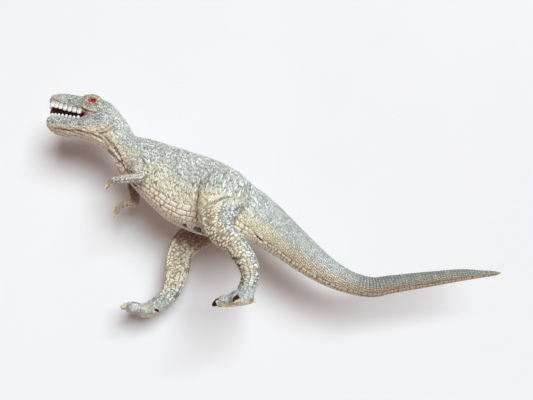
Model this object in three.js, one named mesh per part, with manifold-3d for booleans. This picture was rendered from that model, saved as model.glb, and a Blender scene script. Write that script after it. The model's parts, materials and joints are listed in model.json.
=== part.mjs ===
// A hollow soft vinyl toy dinosaur that walks on its hind legs, with its mouth open.
// Seven castings plug into one another: body, head with neck, tail, two arms and two legs.
// Each plug has a rim that snaps through a hole, so each casting turns where it is plugged in.
// Millimetres. The head points to -x, the figure's left side faces -y, and +z is up.
// Places in the castings are measured from the hip axis. The last lines stand the figure on z = 0.

import * as THREE from "three";
import { mergeVertices } from "three/addons/utils/BufferGeometryUtils.js";
import Module from "manifold-3d";

// Vinyl skin and fits
const WALL = 2.4; // thickness of the cast skin
const SEAM_GAP = 0.3; // between the faces of two castings
const PLUG_PLAY = 0.35; // round a plug in its hole, and behind its rim
const RIM_THICKNESS = 1.8; // the snap rim of a plug
const RIM_LIP = 1.6; // how far a rim reaches past its plug
const OVERRUN = 1; // how far a joined or cutting form runs past the face that it meets

// Body casting, from the neck seam to the tail seam
const CHEST_REACH = 65.9; // hip axis forward to the middle of the neck seam
const CHEST_RISE = 42.4; // hip axis up to the middle of the neck seam
const RUMP_REACH = 18; // hip axis back to the middle of the tail seam
const RUMP_DROP = 13.7; // hip axis down to the middle of the tail seam
const BODY_HEIGHT = 47.6; // back to belly at the deepest place
const BODY_WIDTH = 28.2; // side to side at the widest place

// Seams that two castings share
const NECK_SEAM_HEIGHT = 21.6;
const NECK_SEAM_WIDTH = 18;
const NECK_PLUG_RADIUS = 4.6;
const TAIL_SEAM_HEIGHT = 31.6;
const TAIL_SEAM_WIDTH = 24.4;
const TAIL_PLUG_RADIUS = 6.5;

// Neck and head
const NECK_REACH = 13.8; // neck seam forward to the top of the neck
const NECK_RISE = 17.8; // neck seam up to the top of the neck
const NECK_TOP_HEIGHT = 27;
const NECK_TOP_WIDTH = 20;
const HEAD_LENGTH = 41; // top of the neck to the tip of the snout
const HEAD_HEIGHT = 31; // crown to the underside of the jaw
const HEAD_WIDTH = 20.8; // across the cheeks
const HEAD_TILT_DEG = 14; // snout up
const BROW_LENGTH = 13;
const BROW_HEIGHT = 4.8;
const BROW_WIDTH = 6.2;
const EYE_LENGTH = 6.6;
const EYE_HEIGHT = 3.6;
const EYE_BULGE = 0.9; // how far an eye stands out of its cheek
const NOSTRIL_LENGTH = 5;
const NOSTRIL_HEIGHT = 3;
const MOUTH_DEPTH = 3.1; // from a lip in to the painted wall of the mouth

// Teeth
const UPPER_TOOTH_HEIGHT = 3.3;
const LOWER_TOOTH_HEIGHT = 2.3;
const TOOTH_WIDTH = 2.9;
const TOOTH_INSET = 1.45; // from the lip to the middle of a tooth
const TOOTH_ROOT = 1.2; // how far a tooth is rooted in its jaw
const FRONT_TOOTH_OFFSET = 1.5; // the front pair, either side of the middle
const UPPER_TEETH_A_SIDE = 8;
const LOWER_TEETH_A_SIDE = 9;

// Tail
const TAIL_LENGTH = 142.1; // tail seam to the tip, along x
const TAIL_DROP = 47.6; // tail seam to the lowest place on the middle line
const TAIL_RIB_DEPTH = 0.5;
const TAIL_RIB_PITCH = 3.2;
const VENT_SLIT_LENGTH = 8;
const VENT_SLIT_WIDTH = 0.8;
const VENT_SLIT_BACK = 6; // tail seam back to the slit
const VENT_SLIT_DOWN_SHARE = 0.728; // of half the tail seam's height
const VENT_SLIT_OUT_SHARE = 0.549; // of half the tail seam's width

// Hips and legs
const HIP = { reach: 0, rise: 0 }; // every length is measured from the hip axis
const HIP_HEIGHT = 66.9; // hip axis above the surface that the figure stands on
const HIP_SEAT = 14.4; // middle plane to the face of a hip pad
const HIP_PLUG_RADIUS = 6;
const HAUNCH_RADIUS = 15.6;
const HAUNCH_THICKNESS = 8.8;
const HAUNCH_RIM = 1.9; // height of the straight edge round a haunch
const THIGH_DEPTH = 28; // front to back, at the top
const THIGH_THICKNESS = 10.6;
const LEG_FLAT_DROP = 54; // hip axis down to where the leg's flat inner side ends
const TOE = { length: 12.5, thickness: 7, claw: 3.6, clawThickness: 3.4 };
const LONG_TOE = { ...TOE, length: 15.4 }; // on the right foot, which rolls over its toes
const SIDE_TOE = { length: 7, thickness: 6, claw: 3, clawThickness: 3 };
const REAR_TOE = { length: 5, thickness: 4.9, claw: 2.6, clawThickness: 2.7 };
const BALL_LENGTH = 15;
const BALL_WIDTH = 14.5;
const BALL_HEIGHT = 9.6;
const LEFT_BALL_AHEAD = 1.6; // of the end of the leg's line
const LEFT_BALL_DROP = 1.2; // below the end of the leg's line
const RIGHT_BALL_AHEAD = 3;
const RIGHT_BALL_DROP = 0.9;
const RIGHT_TOE_RISE = 0.8; // of the right foot's toes over the left foot's

// Shoulders and arms
const LEFT_SHOULDER = { back: 11.4, down: 18 }; // from the middle of the neck seam
const RIGHT_SHOULDER = { back: 0.7, down: 13.9 };
const SHOULDER_SEAT = 10.2; // middle plane to the face of a shoulder pad
const SHOULDER_RADIUS = 5.3;
const SHOULDER_PLUG_RADIUS = 2.7;
const SHOULDER_THICKNESS = 6.4;
const LEFT_UPPER_ARM = 14.9;
const LEFT_FOREARM = 17.2;
const LEFT_PALM = 2.9;
const RIGHT_UPPER_ARM = 19.4;
const RIGHT_FOREARM = 10.6;
const RIGHT_PALM = 5;
const ARM_THICKNESS = 7.2; // at the shoulder
const FINGER = { length: 2.8, thickness: 2.3, claw: 1.6, clawThickness: 1.5 };
const FINGER_SPREAD_DEG = 20;

// How finely the forms are drawn
const BODY_SIDES = 24;
const HEAD_SIDES = 18;
const TAIL_SIDES = 14;
const LEG_SIDES = 14;
const ARM_SIDES = 8;
const TOE_SIDES = 7;
const ROUND_SIDES = 20; // holes, plugs and haunches
const EGG_SIDES = 12;
const TOOTH_SIDES = 5;

// Middle line and girth between the neck seam and the tail seam.
// Columns: back along x, down along z, height, width, squareness of the section.
const bodyShares = [
  [0.122, 0.164, 0.64, 0.83, 2.1],
  [0.36, 0.437, 0.895, 0.985, 2.3],
  [0.504, 0.588, 1, 1, 2.6],
  [0.683, 0.736, 0.985, 1, 2.8],
  [0.859, 0.888, 0.825, 0.96, 2.6],
];
// From the top of the neck to its seam. The last two columns go from 1 at the top to 0 at the seam.
const neckShares = [
  [1, 1, 1, 1],
  [0.58, 0.68, 0.12, 0.3],
];
// From the tail seam to the tip, as shares of the tail's length, drop, seam height and seam width.
const tailShares = [
  [0.084, 0.218, 0.816, 0.83],
  [0.2055, 0.571, 0.633, 0.65],
  [0.2885, 0.7815, 0.513, 0.54],
  [0.371, 0.924, 0.418, 0.45],
  [0.457, 1, 0.368, 0.41],
  [0.54, 0.985, 0.329, 0.375],
  [0.692, 0.962, 0.278, 0.33],
  [0.835, 0.943, 0.215, 0.265],
  [0.916, 0.95, 0.139, 0.17],
  [0.975, 0.956, 0.083, 0.1],
  [1, 0.956, 0.02, 0.026],
];
const TAIL_RIBS_FROM_SHARE = 0.56; // of the tail's length
const TAIL_RIBS_TO_SHARE = 0.86;
const TAIL_HOLLOW_ROWS = 4; // the skin is hollow down to this row of the table

// Head sections. Columns: forward along the head, upper edge, lower edge, half width.
// Forward is a share of the head's length, the edges of its height, the half width of its width.
const upperJawShares = [
  [-0.2, 0.3, -0.2, 0.34],
  [-0.06, 0.465, -0.22, 0.45],
  [0.06, 0.535, -0.2, 0.49],
  [0.19, 0.565, -0.02, 0.5],
  [0.27, 0.56, 0.09, 0.475],
  [0.42, 0.555, 0.155, 0.415],
  [0.6, 0.555, 0.195, 0.37],
  [0.8, 0.55, 0.25, 0.345],
  [0.93, 0.49, 0.278, 0.285],
  [0.99, 0.4, 0.31, 0.15],
];
const lowerJawShares = [
  [-0.2, 0.1, -0.36, 0.3],
  [-0.05, 0.1, -0.43, 0.42],
  [0.13, 0.12, -0.425, 0.46],
  [0.27, 0.08, -0.4, 0.44],
  [0.36, -0.012, -0.39, 0.415],
  [0.6, -0.02, -0.38, 0.36],
  [0.79, -0.024, -0.345, 0.315],
  [0.88, -0.034, -0.285, 0.25],
  [0.925, -0.07, -0.215, 0.15],
];

// How square a section is: 2 is an ellipse, and more is squarer.
const NECK_SQUARENESS = 2.1;
const SEAM_SQUARENESS = 2.3;
const LIMB_SQUARENESS = 2.2;
const ROUND_SQUARENESS = 2;
const LIP_SQUARENESS = 3.6; // the flat edges of the two jaws, where the teeth stand

const browShares = { forward: 0.235, up: 0.485, across: 0.34 };
const eyeShares = { forward: 0.19, up: 0.385 };
const nostrilShares = { forward: 0.88, up: 0.455, across: 0.2 };
const mouthShares = { back: 0.1, front: 0.88, up: 0.1, height: 0.5 };
const toothRowShares = {
  upperFront: 0.95,
  upperBack: 0.37,
  lowerFront: 0.885,
  lowerBack: 0.4,
  spacing: 1.15, // the teeth stand closer together towards the back
  lastUpper: 0.72, // the last tooth's height
  lastLower: 0.5,
};
const TOOTH_TIP_SHARE = 0.35;

// Leg lines from the hip axis down. Columns: back along x and down along z as shares of the hip's
// height, front to back as a share of the thigh's depth, thickness as a share of the thigh's.
const leftLegShares = [
  [-0.015, 0.06, 1, 0.95],
  [-0.06, 0.18, 0.86, 1],
  [-0.08, 0.285, 0.66, 1.04],
  [-0.01, 0.4, 0.525, 1.02],
  [0.075, 0.5, 0.465, 0.96],
  [0.15, 0.63, 0.43, 0.87],
  [0.185, 0.735, 0.385, 0.8],
  [0.165, 0.84, 0.35, 0.85],
  [0.12, 0.925, 0.36, 1],
];
const rightLegShares = [
  [-0.045, 0.03, 1, 0.95],
  [-0.2, 0.135, 0.85, 1],
  [-0.36, 0.24, 0.74, 1.02],
  [-0.47, 0.335, 0.68, 1.04],
  [-0.53, 0.46, 0.59, 1],
  [-0.55, 0.575, 0.545, 0.95],
  [-0.585, 0.705, 0.46, 0.87],
  [-0.655, 0.825, 0.385, 0.85],
  [-0.8, 0.915, 0.34, 1],
];
const LEG_OUT_SHARE = 0.5; // the leg's middle line, out from the hip pad, of the thickness
const LEG_HOLLOW_ROWS = 6; // the skin is hollow down to the hock

// Arm bones. Pitch turns from straight down towards the head, splay out from the side.
const leftArmBones = [
  { length: LEFT_UPPER_ARM, pitchDeg: -28, splayDeg: 27 },
  { length: LEFT_FOREARM, pitchDeg: 85, splayDeg: 4 },
  { length: LEFT_PALM, pitchDeg: 50, splayDeg: -34 },
];
const rightArmBones = [
  { length: RIGHT_UPPER_ARM, pitchDeg: -5, splayDeg: 11 },
  { length: RIGHT_FOREARM, pitchDeg: 81, splayDeg: 4 },
  { length: RIGHT_PALM, pitchDeg: 33, splayDeg: -10 },
];
// Along the arm: how far from shoulder to elbow, elbow to wrist or wrist to knuckles, and the girth.
const armRowShares = [
  { bone: 0, along: 0, girth: 1 },
  { bone: 0, along: 0.55, girth: 1 },
  { bone: 1, along: 0, girth: 0.76 },
  { bone: 1, along: 0.4, girth: 0.72 },
  { bone: 2, along: 0, girth: 0.58 },
  { bone: 2, along: 1, girth: 0.56 },
];
const SHOULDER_TOP_SHARE = 0.62; // of the shoulder disc's radius

// Toes and fingers: how far along the toe, and its girth, then the same for the claw.
const toeRowShares = [
  [0, 0.92],
  [0.55, 1],
  [0.9, 0.9],
  [1, 0.62],
];
const clawRowShares = [
  [0.1, 1],
  [0.6, 0.66],
  [1, 0.1],
];
const CLAW_HOOK_SHARE = 0.55; // how steeply a claw bends down

// Toes of a foot: turned out from straight ahead, and out from the middle of the ball.
// Offsets are shares of half a toe's thickness. Outward is away from the other foot.
const leftToes = [
  { headingDeg: -20, ahead: 0, out: -0.9, size: TOE },
  { headingDeg: 0, ahead: 0.4, out: 0, size: TOE },
  { headingDeg: 52, ahead: -0.4, out: 0.7, size: SIDE_TOE },
  { headingDeg: -142, ahead: 0, out: -0.6, size: REAR_TOE },
];
const rightToes = [
  { headingDeg: -20, ahead: 0, out: -0.9, size: LONG_TOE },
  { headingDeg: 0, ahead: 0.4, out: 0, size: LONG_TOE },
  { headingDeg: 22, ahead: 0, out: 0.9, size: LONG_TOE },
  { headingDeg: -142, ahead: 0, out: -0.6, size: REAR_TOE },
];
const SOLE_SHARE = 0.8; // of half a toe, from the middle of a toe down to its flat sole

// The left foot stands flat. The right rolls on its ball, with its toes pitched up.
const leftFoot = {
  pitchDeg: 0,
  ballAhead: LEFT_BALL_AHEAD,
  ballDrop: LEFT_BALL_DROP,
  toeRise: 0,
  toes: leftToes,
};
const rightFoot = {
  pitchDeg: 16,
  ballAhead: RIGHT_BALL_AHEAD,
  ballDrop: RIGHT_BALL_DROP,
  toeRise: RIGHT_TOE_RISE,
  toes: rightToes,
};

// Paint
const SKIN = { color: 0xa3a69c, roughness: 0.55, metalness: 0.15 };

const wasm = await Module();
wasm.setup();

const ALONG_Y = new THREE.Vector3(0, 1, 0);
const point = (x, y, z) => new THREE.Vector3(x, y, z);
const turn = (degrees) => THREE.MathUtils.degToRad(degrees);

// A closed geometry as a solid that can be joined and cut.
function solidOf(geometry) {
  const bare = geometry.clone();
  bare.deleteAttribute("normal");
  bare.deleteAttribute("uv");
  const merged = mergeVertices(bare);
  return new wasm.Manifold(
    new wasm.Mesh({
      numProp: 3,
      vertProperties: new Float32Array(merged.attributes.position.array),
      triVerts: new Uint32Array(merged.index.array),
    }),
  );
}

function joined(solids) {
  return solids.reduce((whole, solid) => whole.add(solid));
}

function cutFrom(solid, cutters) {
  return cutters.reduce((rest, cutter) => rest.subtract(cutter), solid);
}

// A table of rows, read smoothly at any place t between its first and last key.
function smoothTable(keys, rows) {
  const reader = new THREE.CubicInterpolant(keys, rows.flat(), rows[0].length);
  return (t) => Array.from(reader.evaluate(t));
}

// One ring of a loft: a section with its own upper and lower squareness, square to `along`.
function ringOf(section, along, sides) {
  const across = ALONG_Y.clone().addScaledVector(along, -along.y).normalize();
  const up = new THREE.Vector3().crossVectors(along, across);
  const ring = [];
  for (let i = 0; i < sides; i += 1) {
    const angle = (2 * Math.PI * i) / sides;
    const side = Math.cos(angle);
    const rise = Math.sin(angle);
    const power = 2 / (rise > 0 ? section.squareUp : section.squareDown);
    const wide = section.wide * Math.sign(side) * Math.abs(side) ** power;
    const high = section.high * Math.sign(rise) * Math.abs(rise) ** power;
    ring.push(section.at.clone().addScaledVector(across, wide).addScaledVector(up, high));
  }
  return ring;
}

// A closed skin through the rings of a row of sections, with flat ends.
function loft(sections, sides) {
  const rings = sections.map((section, i) => {
    const before = sections[Math.max(i - 1, 0)].at;
    const after = sections[Math.min(i + 1, sections.length - 1)].at;
    const along = section.along ?? after.clone().sub(before).normalize();
    return ringOf(section, along, sides);
  });
  const corners = rings.flat();
  const first = corners.push(sections[0].at) - 1;
  const last = corners.push(sections[sections.length - 1].at) - 1;
  const faces = [];
  for (let r = 0; r < rings.length - 1; r += 1) {
    for (let i = 0; i < sides; i += 1) {
      const next = (i + 1) % sides;
      const here = r * sides;
      const there = here + sides;
      faces.push(here + i, here + next, there + next);
      faces.push(here + i, there + next, there + i);
    }
  }
  const end = (rings.length - 1) * sides;
  for (let i = 0; i < sides; i += 1) {
    const next = (i + 1) % sides;
    faces.push(first, next, i);
    faces.push(last, end + i, end + next);
  }
  const geometry = new THREE.BufferGeometry().setFromPoints(corners);
  geometry.setIndex(faces);
  return solidOf(geometry);
}

// The same section, drawn in by the thickness of the skin.
function insideOf(section) {
  return { ...section, wide: section.wide - WALL, high: section.high - WALL };
}

// A round bar from one point to another, or a cone where its two radii differ.
function bar(from, to, radiusFrom, radiusTo = radiusFrom, sides = ROUND_SIDES) {
  const length = from.distanceTo(to);
  const geometry = new THREE.CylinderGeometry(radiusTo, radiusFrom, length, sides);
  const way = to.clone().sub(from).normalize();
  geometry.applyQuaternion(new THREE.Quaternion().setFromUnitVectors(ALONG_Y, way));
  const middle = from.clone().add(to).multiplyScalar(0.5);
  geometry.translate(middle.x, middle.y, middle.z);
  return solidOf(geometry);
}

// An egg shape with its own length, width and height, tilted about y.
function egg(at, length, width, height, tilt) {
  const geometry = new THREE.SphereGeometry(0.5, EGG_SIDES, EGG_SIDES / 2);
  geometry.scale(length, width, height);
  geometry.rotateY(tilt);
  geometry.translate(at.x, at.y, at.z);
  return solidOf(geometry);
}

// A snap plug that leaves a casting's face at `at`, along `way`, and the hole that it passes.
function plug(at, way, radius) {
  const reach = SEAM_GAP + WALL + PLUG_PLAY;
  const root = at.clone().addScaledVector(way, -WALL);
  const rimStart = at.clone().addScaledVector(way, reach);
  const rimEnd = rimStart.clone().addScaledVector(way, RIM_THICKNESS);
  const neck = bar(root, rimEnd, radius);
  const rim = bar(rimStart, rimEnd, radius + RIM_LIP, radius + RIM_LIP / 2);
  const boreStart = root.clone().addScaledVector(way, -OVERRUN);
  const boreEnd = rimEnd.clone().addScaledVector(way, OVERRUN);
  return { solid: neck.add(rim), bore: bar(boreStart, boreEnd, radius - RIM_LIP) };
}

function plugHole(at, way, radius) {
  const start = at.clone().addScaledVector(way, -OVERRUN);
  const stop = at.clone().addScaledVector(way, WALL + OVERRUN);
  return bar(start, stop, radius + PLUG_PLAY);
}

// Room behind a skin for the rim of a plug and its play.
function rimRoom(at, way, radius) {
  const start = at.clone().addScaledVector(way, WALL);
  const stop = start.clone().addScaledVector(way, RIM_THICKNESS + 2 * PLUG_PLAY);
  return bar(start, stop, radius + RIM_LIP + PLUG_PLAY);
}

// The body line runs from the top of the neck, over both seams, to the tip of the tail.
function bodyLine() {
  const rows = neckShares.map(([reach, rise, high, wide]) => [
    -CHEST_REACH - reach * NECK_REACH,
    CHEST_RISE + rise * NECK_RISE,
    THREE.MathUtils.lerp(NECK_SEAM_HEIGHT, NECK_TOP_HEIGHT, high) / 2,
    THREE.MathUtils.lerp(NECK_SEAM_WIDTH, NECK_TOP_WIDTH, wide) / 2,
    NECK_SQUARENESS,
  ]);
  const neckSeam = rows.length;
  rows.push([
    -CHEST_REACH,
    CHEST_RISE,
    NECK_SEAM_HEIGHT / 2,
    NECK_SEAM_WIDTH / 2,
    NECK_SQUARENESS,
  ]);
  for (const [back, down, high, wide, square] of bodyShares) {
    rows.push([
      back * (CHEST_REACH + RUMP_REACH) - CHEST_REACH,
      CHEST_RISE - down * (CHEST_RISE + RUMP_DROP),
      (high * BODY_HEIGHT) / 2,
      (wide * BODY_WIDTH) / 2,
      square,
    ]);
  }
  const tailSeam = rows.length;
  rows.push([
    RUMP_REACH,
    -RUMP_DROP,
    TAIL_SEAM_HEIGHT / 2,
    TAIL_SEAM_WIDTH / 2,
    SEAM_SQUARENESS,
  ]);
  for (const [back, down, high, wide] of tailShares) {
    rows.push([
      RUMP_REACH + back * TAIL_LENGTH,
      -RUMP_DROP - down * TAIL_DROP,
      (high * TAIL_SEAM_HEIGHT) / 2,
      (wide * TAIL_SEAM_WIDTH) / 2,
      LIMB_SQUARENESS,
    ]);
  }
  const read = smoothTable([...rows.keys()], rows);
  const sectionAt = (t) => {
    const [x, z, high, wide, square] = read(t);
    return { at: point(x, 0, z), high, wide, squareUp: square, squareDown: square };
  };
  const wayAt = (t) => {
    const step = 0.01;
    const before = sectionAt(Math.max(t - step, 0)).at;
    const after = sectionAt(Math.min(t + step, rows.length - 1)).at;
    return after.sub(before).normalize();
  };
  return { sectionAt, wayAt, neckSeam, tailSeam, tip: rows.length - 1 };
}

const line = bodyLine();

// Sections of the body line between two places, with both ends moved along the line.
function sectionsBetween(from, to, steps, startShift, endShift, inside = false) {
  const sections = [];
  for (let i = 0; i <= steps; i += 1) {
    const t = from + ((to - from) * i) / steps;
    const section = inside ? insideOf(line.sectionAt(t)) : line.sectionAt(t);
    const along = line.wayAt(t);
    const shift = i === 0 ? startShift : i === steps ? endShift : 0;
    section.at.addScaledVector(along, shift);
    sections.push({ ...section, along });
  }
  return sections;
}

function mirroredSides(make) {
  return [-1, 1].map((side) => make(side));
}

// A shoulder's place, worked out from the neck seam that it follows.
function fromNeckSeam({ back, down }) {
  return { reach: CHEST_REACH - back, rise: CHEST_RISE - down };
}

function seatAt({ reach, rise }, seat, side) {
  return { at: point(-reach, side * seat, rise), way: point(0, side, 0) };
}

// The body casting, with a face and a hole for each of its six plugs.
function bodyShell() {
  const steps = 2 * (line.tailSeam - line.neckSeam);
  const outside = loft(
    sectionsBetween(line.neckSeam, line.tailSeam, steps, 0, 0),
    BODY_SIDES,
  );
  const hollow = loft(
    sectionsBetween(line.neckSeam, line.tailSeam, steps, WALL, -WALL, true),
    BODY_SIDES,
  );
  const seats = mirroredSides((side) => [
    { ...seatAt(HIP, HIP_SEAT, side), pad: HAUNCH_RADIUS, hole: HIP_PLUG_RADIUS },
    {
      ...seatAt(
        fromNeckSeam(side < 0 ? LEFT_SHOULDER : RIGHT_SHOULDER),
        SHOULDER_SEAT,
        side,
      ),
      pad: SHOULDER_RADIUS,
      hole: SHOULDER_PLUG_RADIUS,
    },
  ]).flat();
  const pads = seats.map(({ at, pad }) => bar(point(at.x, 0, at.z), at, pad));
  const clearances = seats.map(({ at, way, pad }) =>
    bar(at, at.clone().addScaledVector(way, BODY_WIDTH / 2), pad + SEAM_GAP),
  );
  const backings = seats.map(({ at, way, pad }) =>
    bar(
      at.clone().addScaledVector(way, -WALL),
      at.clone().addScaledVector(way, BODY_WIDTH / 2),
      pad + WALL,
    ),
  );
  const holes = seats.flatMap(({ at, way, hole }) => {
    const inward = way.clone().negate();
    return [plugHole(at, inward, hole), rimRoom(at, inward, hole)];
  });
  const neckWay = line.wayAt(line.neckSeam);
  const tailWay = line.wayAt(line.tailSeam).negate();
  holes.push(plugHole(line.sectionAt(line.neckSeam).at, neckWay, NECK_PLUG_RADIUS));
  holes.push(plugHole(line.sectionAt(line.tailSeam).at, tailWay, TAIL_PLUG_RADIUS));
  const skin = cutFrom(joined([outside, ...pads]), clearances);
  return cutFrom(skin, [cutFrom(hollow, backings), ...holes]);
}

// The head's own frame: forward towards the snout, up towards the crown, from the top of the neck.
function headFrame() {
  const origin = line.sectionAt(0).at;
  const tilt = turn(HEAD_TILT_DEG);
  const forward = point(-Math.cos(tilt), 0, Math.sin(tilt));
  const up = point(Math.sin(tilt), 0, Math.cos(tilt));
  const place = (forwardShare, upShare, across) =>
    origin
      .clone()
      .addScaledVector(forward, forwardShare * HEAD_LENGTH)
      .addScaledVector(up, upShare * HEAD_HEIGHT)
      .add(point(0, across, 0));
  return { forward, up, tilt, place };
}

const head = headFrame();

// One jaw, lofted along the head from a table of edges and half widths.
function jaw(shares, squareUp, squareDown) {
  const read = smoothTable(
    shares.map((row) => row[0]),
    shares.map((row) => row.slice(1)),
  );
  const sectionAt = (forwardShare) => {
    const [top, bottom, half] = read(forwardShare);
    return {
      at: head.place(forwardShare, (top + bottom) / 2, 0),
      high: ((top - bottom) / 2) * HEAD_HEIGHT,
      wide: half * HEAD_WIDTH,
      along: head.forward,
      squareUp,
      squareDown,
    };
  };
  const first = shares[0][0];
  const last = shares[shares.length - 1][0];
  const sections = [];
  const steps = 2 * (shares.length - 1);
  for (let i = 0; i <= steps; i += 1) {
    // The steps close up towards the front, where the jaw rounds off.
    sections.push(sectionAt(first + (last - first) * Math.sin((Math.PI * i) / (2 * steps))));
  }
  return { solid: loft(flipped(sections), HEAD_SIDES), sectionAt };
}

// A loft that runs towards the head has its up and down the other way round.
function flipped(sections) {
  return sections.map((section) => ({
    ...section,
    squareUp: section.squareDown,
    squareDown: section.squareUp,
  }));
}

// The teeth of one jaw. A tooth points down from the upper jaw, and up from the lower.
function toothRow(sectionAt, row, pointing) {
  const teeth = [];
  for (let i = 0; i < row.count; i += 1) {
    const backShare = i / (row.count - 1);
    const forwardShare = row.front - (row.front - row.back) * backShare ** toothRowShares.spacing;
    const section = sectionAt(forwardShare);
    const across = i === 0 ? FRONT_TOOTH_OFFSET : section.wide - TOOTH_INSET;
    const size = THREE.MathUtils.lerp(1, row.lastShare, backShare);
    for (const side of [-1, 1]) {
      const edge = section.at
        .clone()
        .addScaledVector(head.up, pointing * section.high)
        .add(point(0, side * across, 0));
      const root = edge.clone().addScaledVector(head.up, -pointing * TOOTH_ROOT);
      const tip = edge.clone().addScaledVector(head.up, pointing * row.height * size);
      const half = TOOTH_WIDTH / 2;
      teeth.push(bar(root, tip, half, half * TOOTH_TIP_SHARE, TOOTH_SIDES));
    }
  }
  return teeth;
}

// The wall inside the mouth, which the two jaws share and the teeth stand round.
function mouthWall(upperAt, lowerAt) {
  const { back, front, up, height } = mouthShares;
  const steps = 6;
  const sections = [];
  for (let i = 0; i <= steps; i += 1) {
    const forwardShare = back + ((front - back) * i) / steps;
    const lip = Math.min(upperAt(forwardShare).wide, lowerAt(forwardShare).wide);
    sections.push({
      at: head.place(forwardShare, up, 0),
      high: (height * HEAD_HEIGHT) / 2,
      wide: lip - MOUTH_DEPTH,
      along: head.forward,
      squareUp: LIP_SQUARENESS,
      squareDown: LIP_SQUARENESS,
    });
  }
  return loft(sections, EGG_SIDES);
}

// The head and neck casting: two jaws, brows, eyes, nostrils and teeth in one skin.
function headAndNeck() {
  const upper = jaw(upperJawShares, SEAM_SQUARENESS, LIP_SQUARENESS);
  const lower = jaw(lowerJawShares, LIP_SQUARENESS, SEAM_SQUARENESS);
  const neckSteps = 2 * line.neckSeam;
  const neck = loft(
    sectionsBetween(0, line.neckSeam, neckSteps, -OVERRUN, -SEAM_GAP),
    BODY_SIDES,
  );
  const hollow = loft(
    sectionsBetween(0, line.neckSeam, neckSteps, 0, -SEAM_GAP - WALL, true),
    BODY_SIDES,
  );
  const features = [];
  for (const side of [-1, 1]) {
    const brow = head.place(browShares.forward, browShares.up, side * browShares.across * HEAD_WIDTH);
    const cheek = upper.sectionAt(eyeShares.forward).wide;
    const eyeAcross = cheek - EYE_HEIGHT / 2 + EYE_BULGE;
    const eye = head.place(eyeShares.forward, eyeShares.up, side * eyeAcross);
    const nose = head.place(
      nostrilShares.forward,
      nostrilShares.up,
      side * nostrilShares.across * HEAD_WIDTH,
    );
    features.push(egg(brow, BROW_LENGTH, BROW_WIDTH, BROW_HEIGHT, head.tilt));
    features.push(egg(eye, EYE_LENGTH, EYE_HEIGHT, EYE_HEIGHT, head.tilt));
    features.push(egg(nose, NOSTRIL_LENGTH, NOSTRIL_HEIGHT, NOSTRIL_HEIGHT, head.tilt));
  }
  features.push(mouthWall(upper.sectionAt, lower.sectionAt));
  const upperRow = {
    front: toothRowShares.upperFront,
    back: toothRowShares.upperBack,
    lastShare: toothRowShares.lastUpper,
    count: UPPER_TEETH_A_SIDE,
    height: UPPER_TOOTH_HEIGHT,
  };
  const lowerRow = {
    front: toothRowShares.lowerFront,
    back: toothRowShares.lowerBack,
    lastShare: toothRowShares.lastLower,
    count: LOWER_TEETH_A_SIDE,
    height: LOWER_TOOTH_HEIGHT,
  };
  const teeth = [
    ...toothRow(upper.sectionAt, upperRow, -1),
    ...toothRow(lower.sectionAt, lowerRow, 1),
  ];
  const way = line.wayAt(line.neckSeam);
  const seat = line.sectionAt(line.neckSeam).at.addScaledVector(way, -SEAM_GAP);
  const neckPlug = plug(seat, way, NECK_PLUG_RADIUS);
  const skin = joined([upper.solid, lower.solid, neck, ...features, ...teeth]);
  return cutFrom(joined([cutFrom(skin, [hollow]), neckPlug.solid]), [neckPlug.bore]);
}

// The tail casting: hollow to its lowest place, solid and ribbed beyond, with a vent slit.
function tailCasting() {
  const steps = 2 * (line.tip - line.tailSeam);
  const smooth = sectionsBetween(line.tailSeam, line.tip, steps, SEAM_GAP, 0);
  const sections = smooth.filter((section) => {
    const along = (section.at.x - RUMP_REACH) / TAIL_LENGTH;
    return along <= TAIL_RIBS_FROM_SHARE || along >= TAIL_RIBS_TO_SHARE;
  });
  const ribStart = RUMP_REACH + TAIL_RIBS_FROM_SHARE * TAIL_LENGTH;
  const ribLength = (TAIL_RIBS_TO_SHARE - TAIL_RIBS_FROM_SHARE) * TAIL_LENGTH;
  const ribs = Math.round(ribLength / TAIL_RIB_PITCH);
  const before = sections.filter((section) => section.at.x <= ribStart);
  const beyond = sections.filter((section) => section.at.x > ribStart);
  const ribbed = [];
  for (let i = 1; i < 2 * ribs; i += 1) {
    const x = ribStart + (ribLength * i) / (2 * ribs);
    const t = placeAtX(x);
    const section = line.sectionAt(t);
    const depth = i % 2 ? TAIL_RIB_DEPTH / 2 : -TAIL_RIB_DEPTH / 2;
    ribbed.push({
      ...section,
      high: section.high + depth,
      wide: section.wide + depth,
      along: line.wayAt(t),
    });
  }
  const outside = loft([...before, ...ribbed, ...beyond], TAIL_SIDES);
  const hollowEnd = line.tailSeam + TAIL_HOLLOW_ROWS;
  const hollowStart = SEAM_GAP + WALL;
  const hollow = loft(
    sectionsBetween(line.tailSeam, hollowEnd, 2 * TAIL_HOLLOW_ROWS, hollowStart, 0, true),
    TAIL_SIDES,
  );
  const way = line.wayAt(line.tailSeam);
  const seat = line.sectionAt(line.tailSeam).at.addScaledVector(way, SEAM_GAP);
  const tailPlug = plug(seat, way.clone().negate(), TAIL_PLUG_RADIUS);
  const skin = cutFrom(outside, [hollow, ventSlit(way)]);
  return cutFrom(skin.add(tailPlug.solid), [tailPlug.bore]);
}

// The place on the body line, past the tail seam, whose x is the one asked for.
function placeAtX(x) {
  let low = line.tailSeam;
  let high = line.tip;
  for (let i = 0; i < 30; i += 1) {
    const middle = (low + high) / 2;
    if (line.sectionAt(middle).at.x < x) low = middle;
    else high = middle;
  }
  return (low + high) / 2;
}

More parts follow.
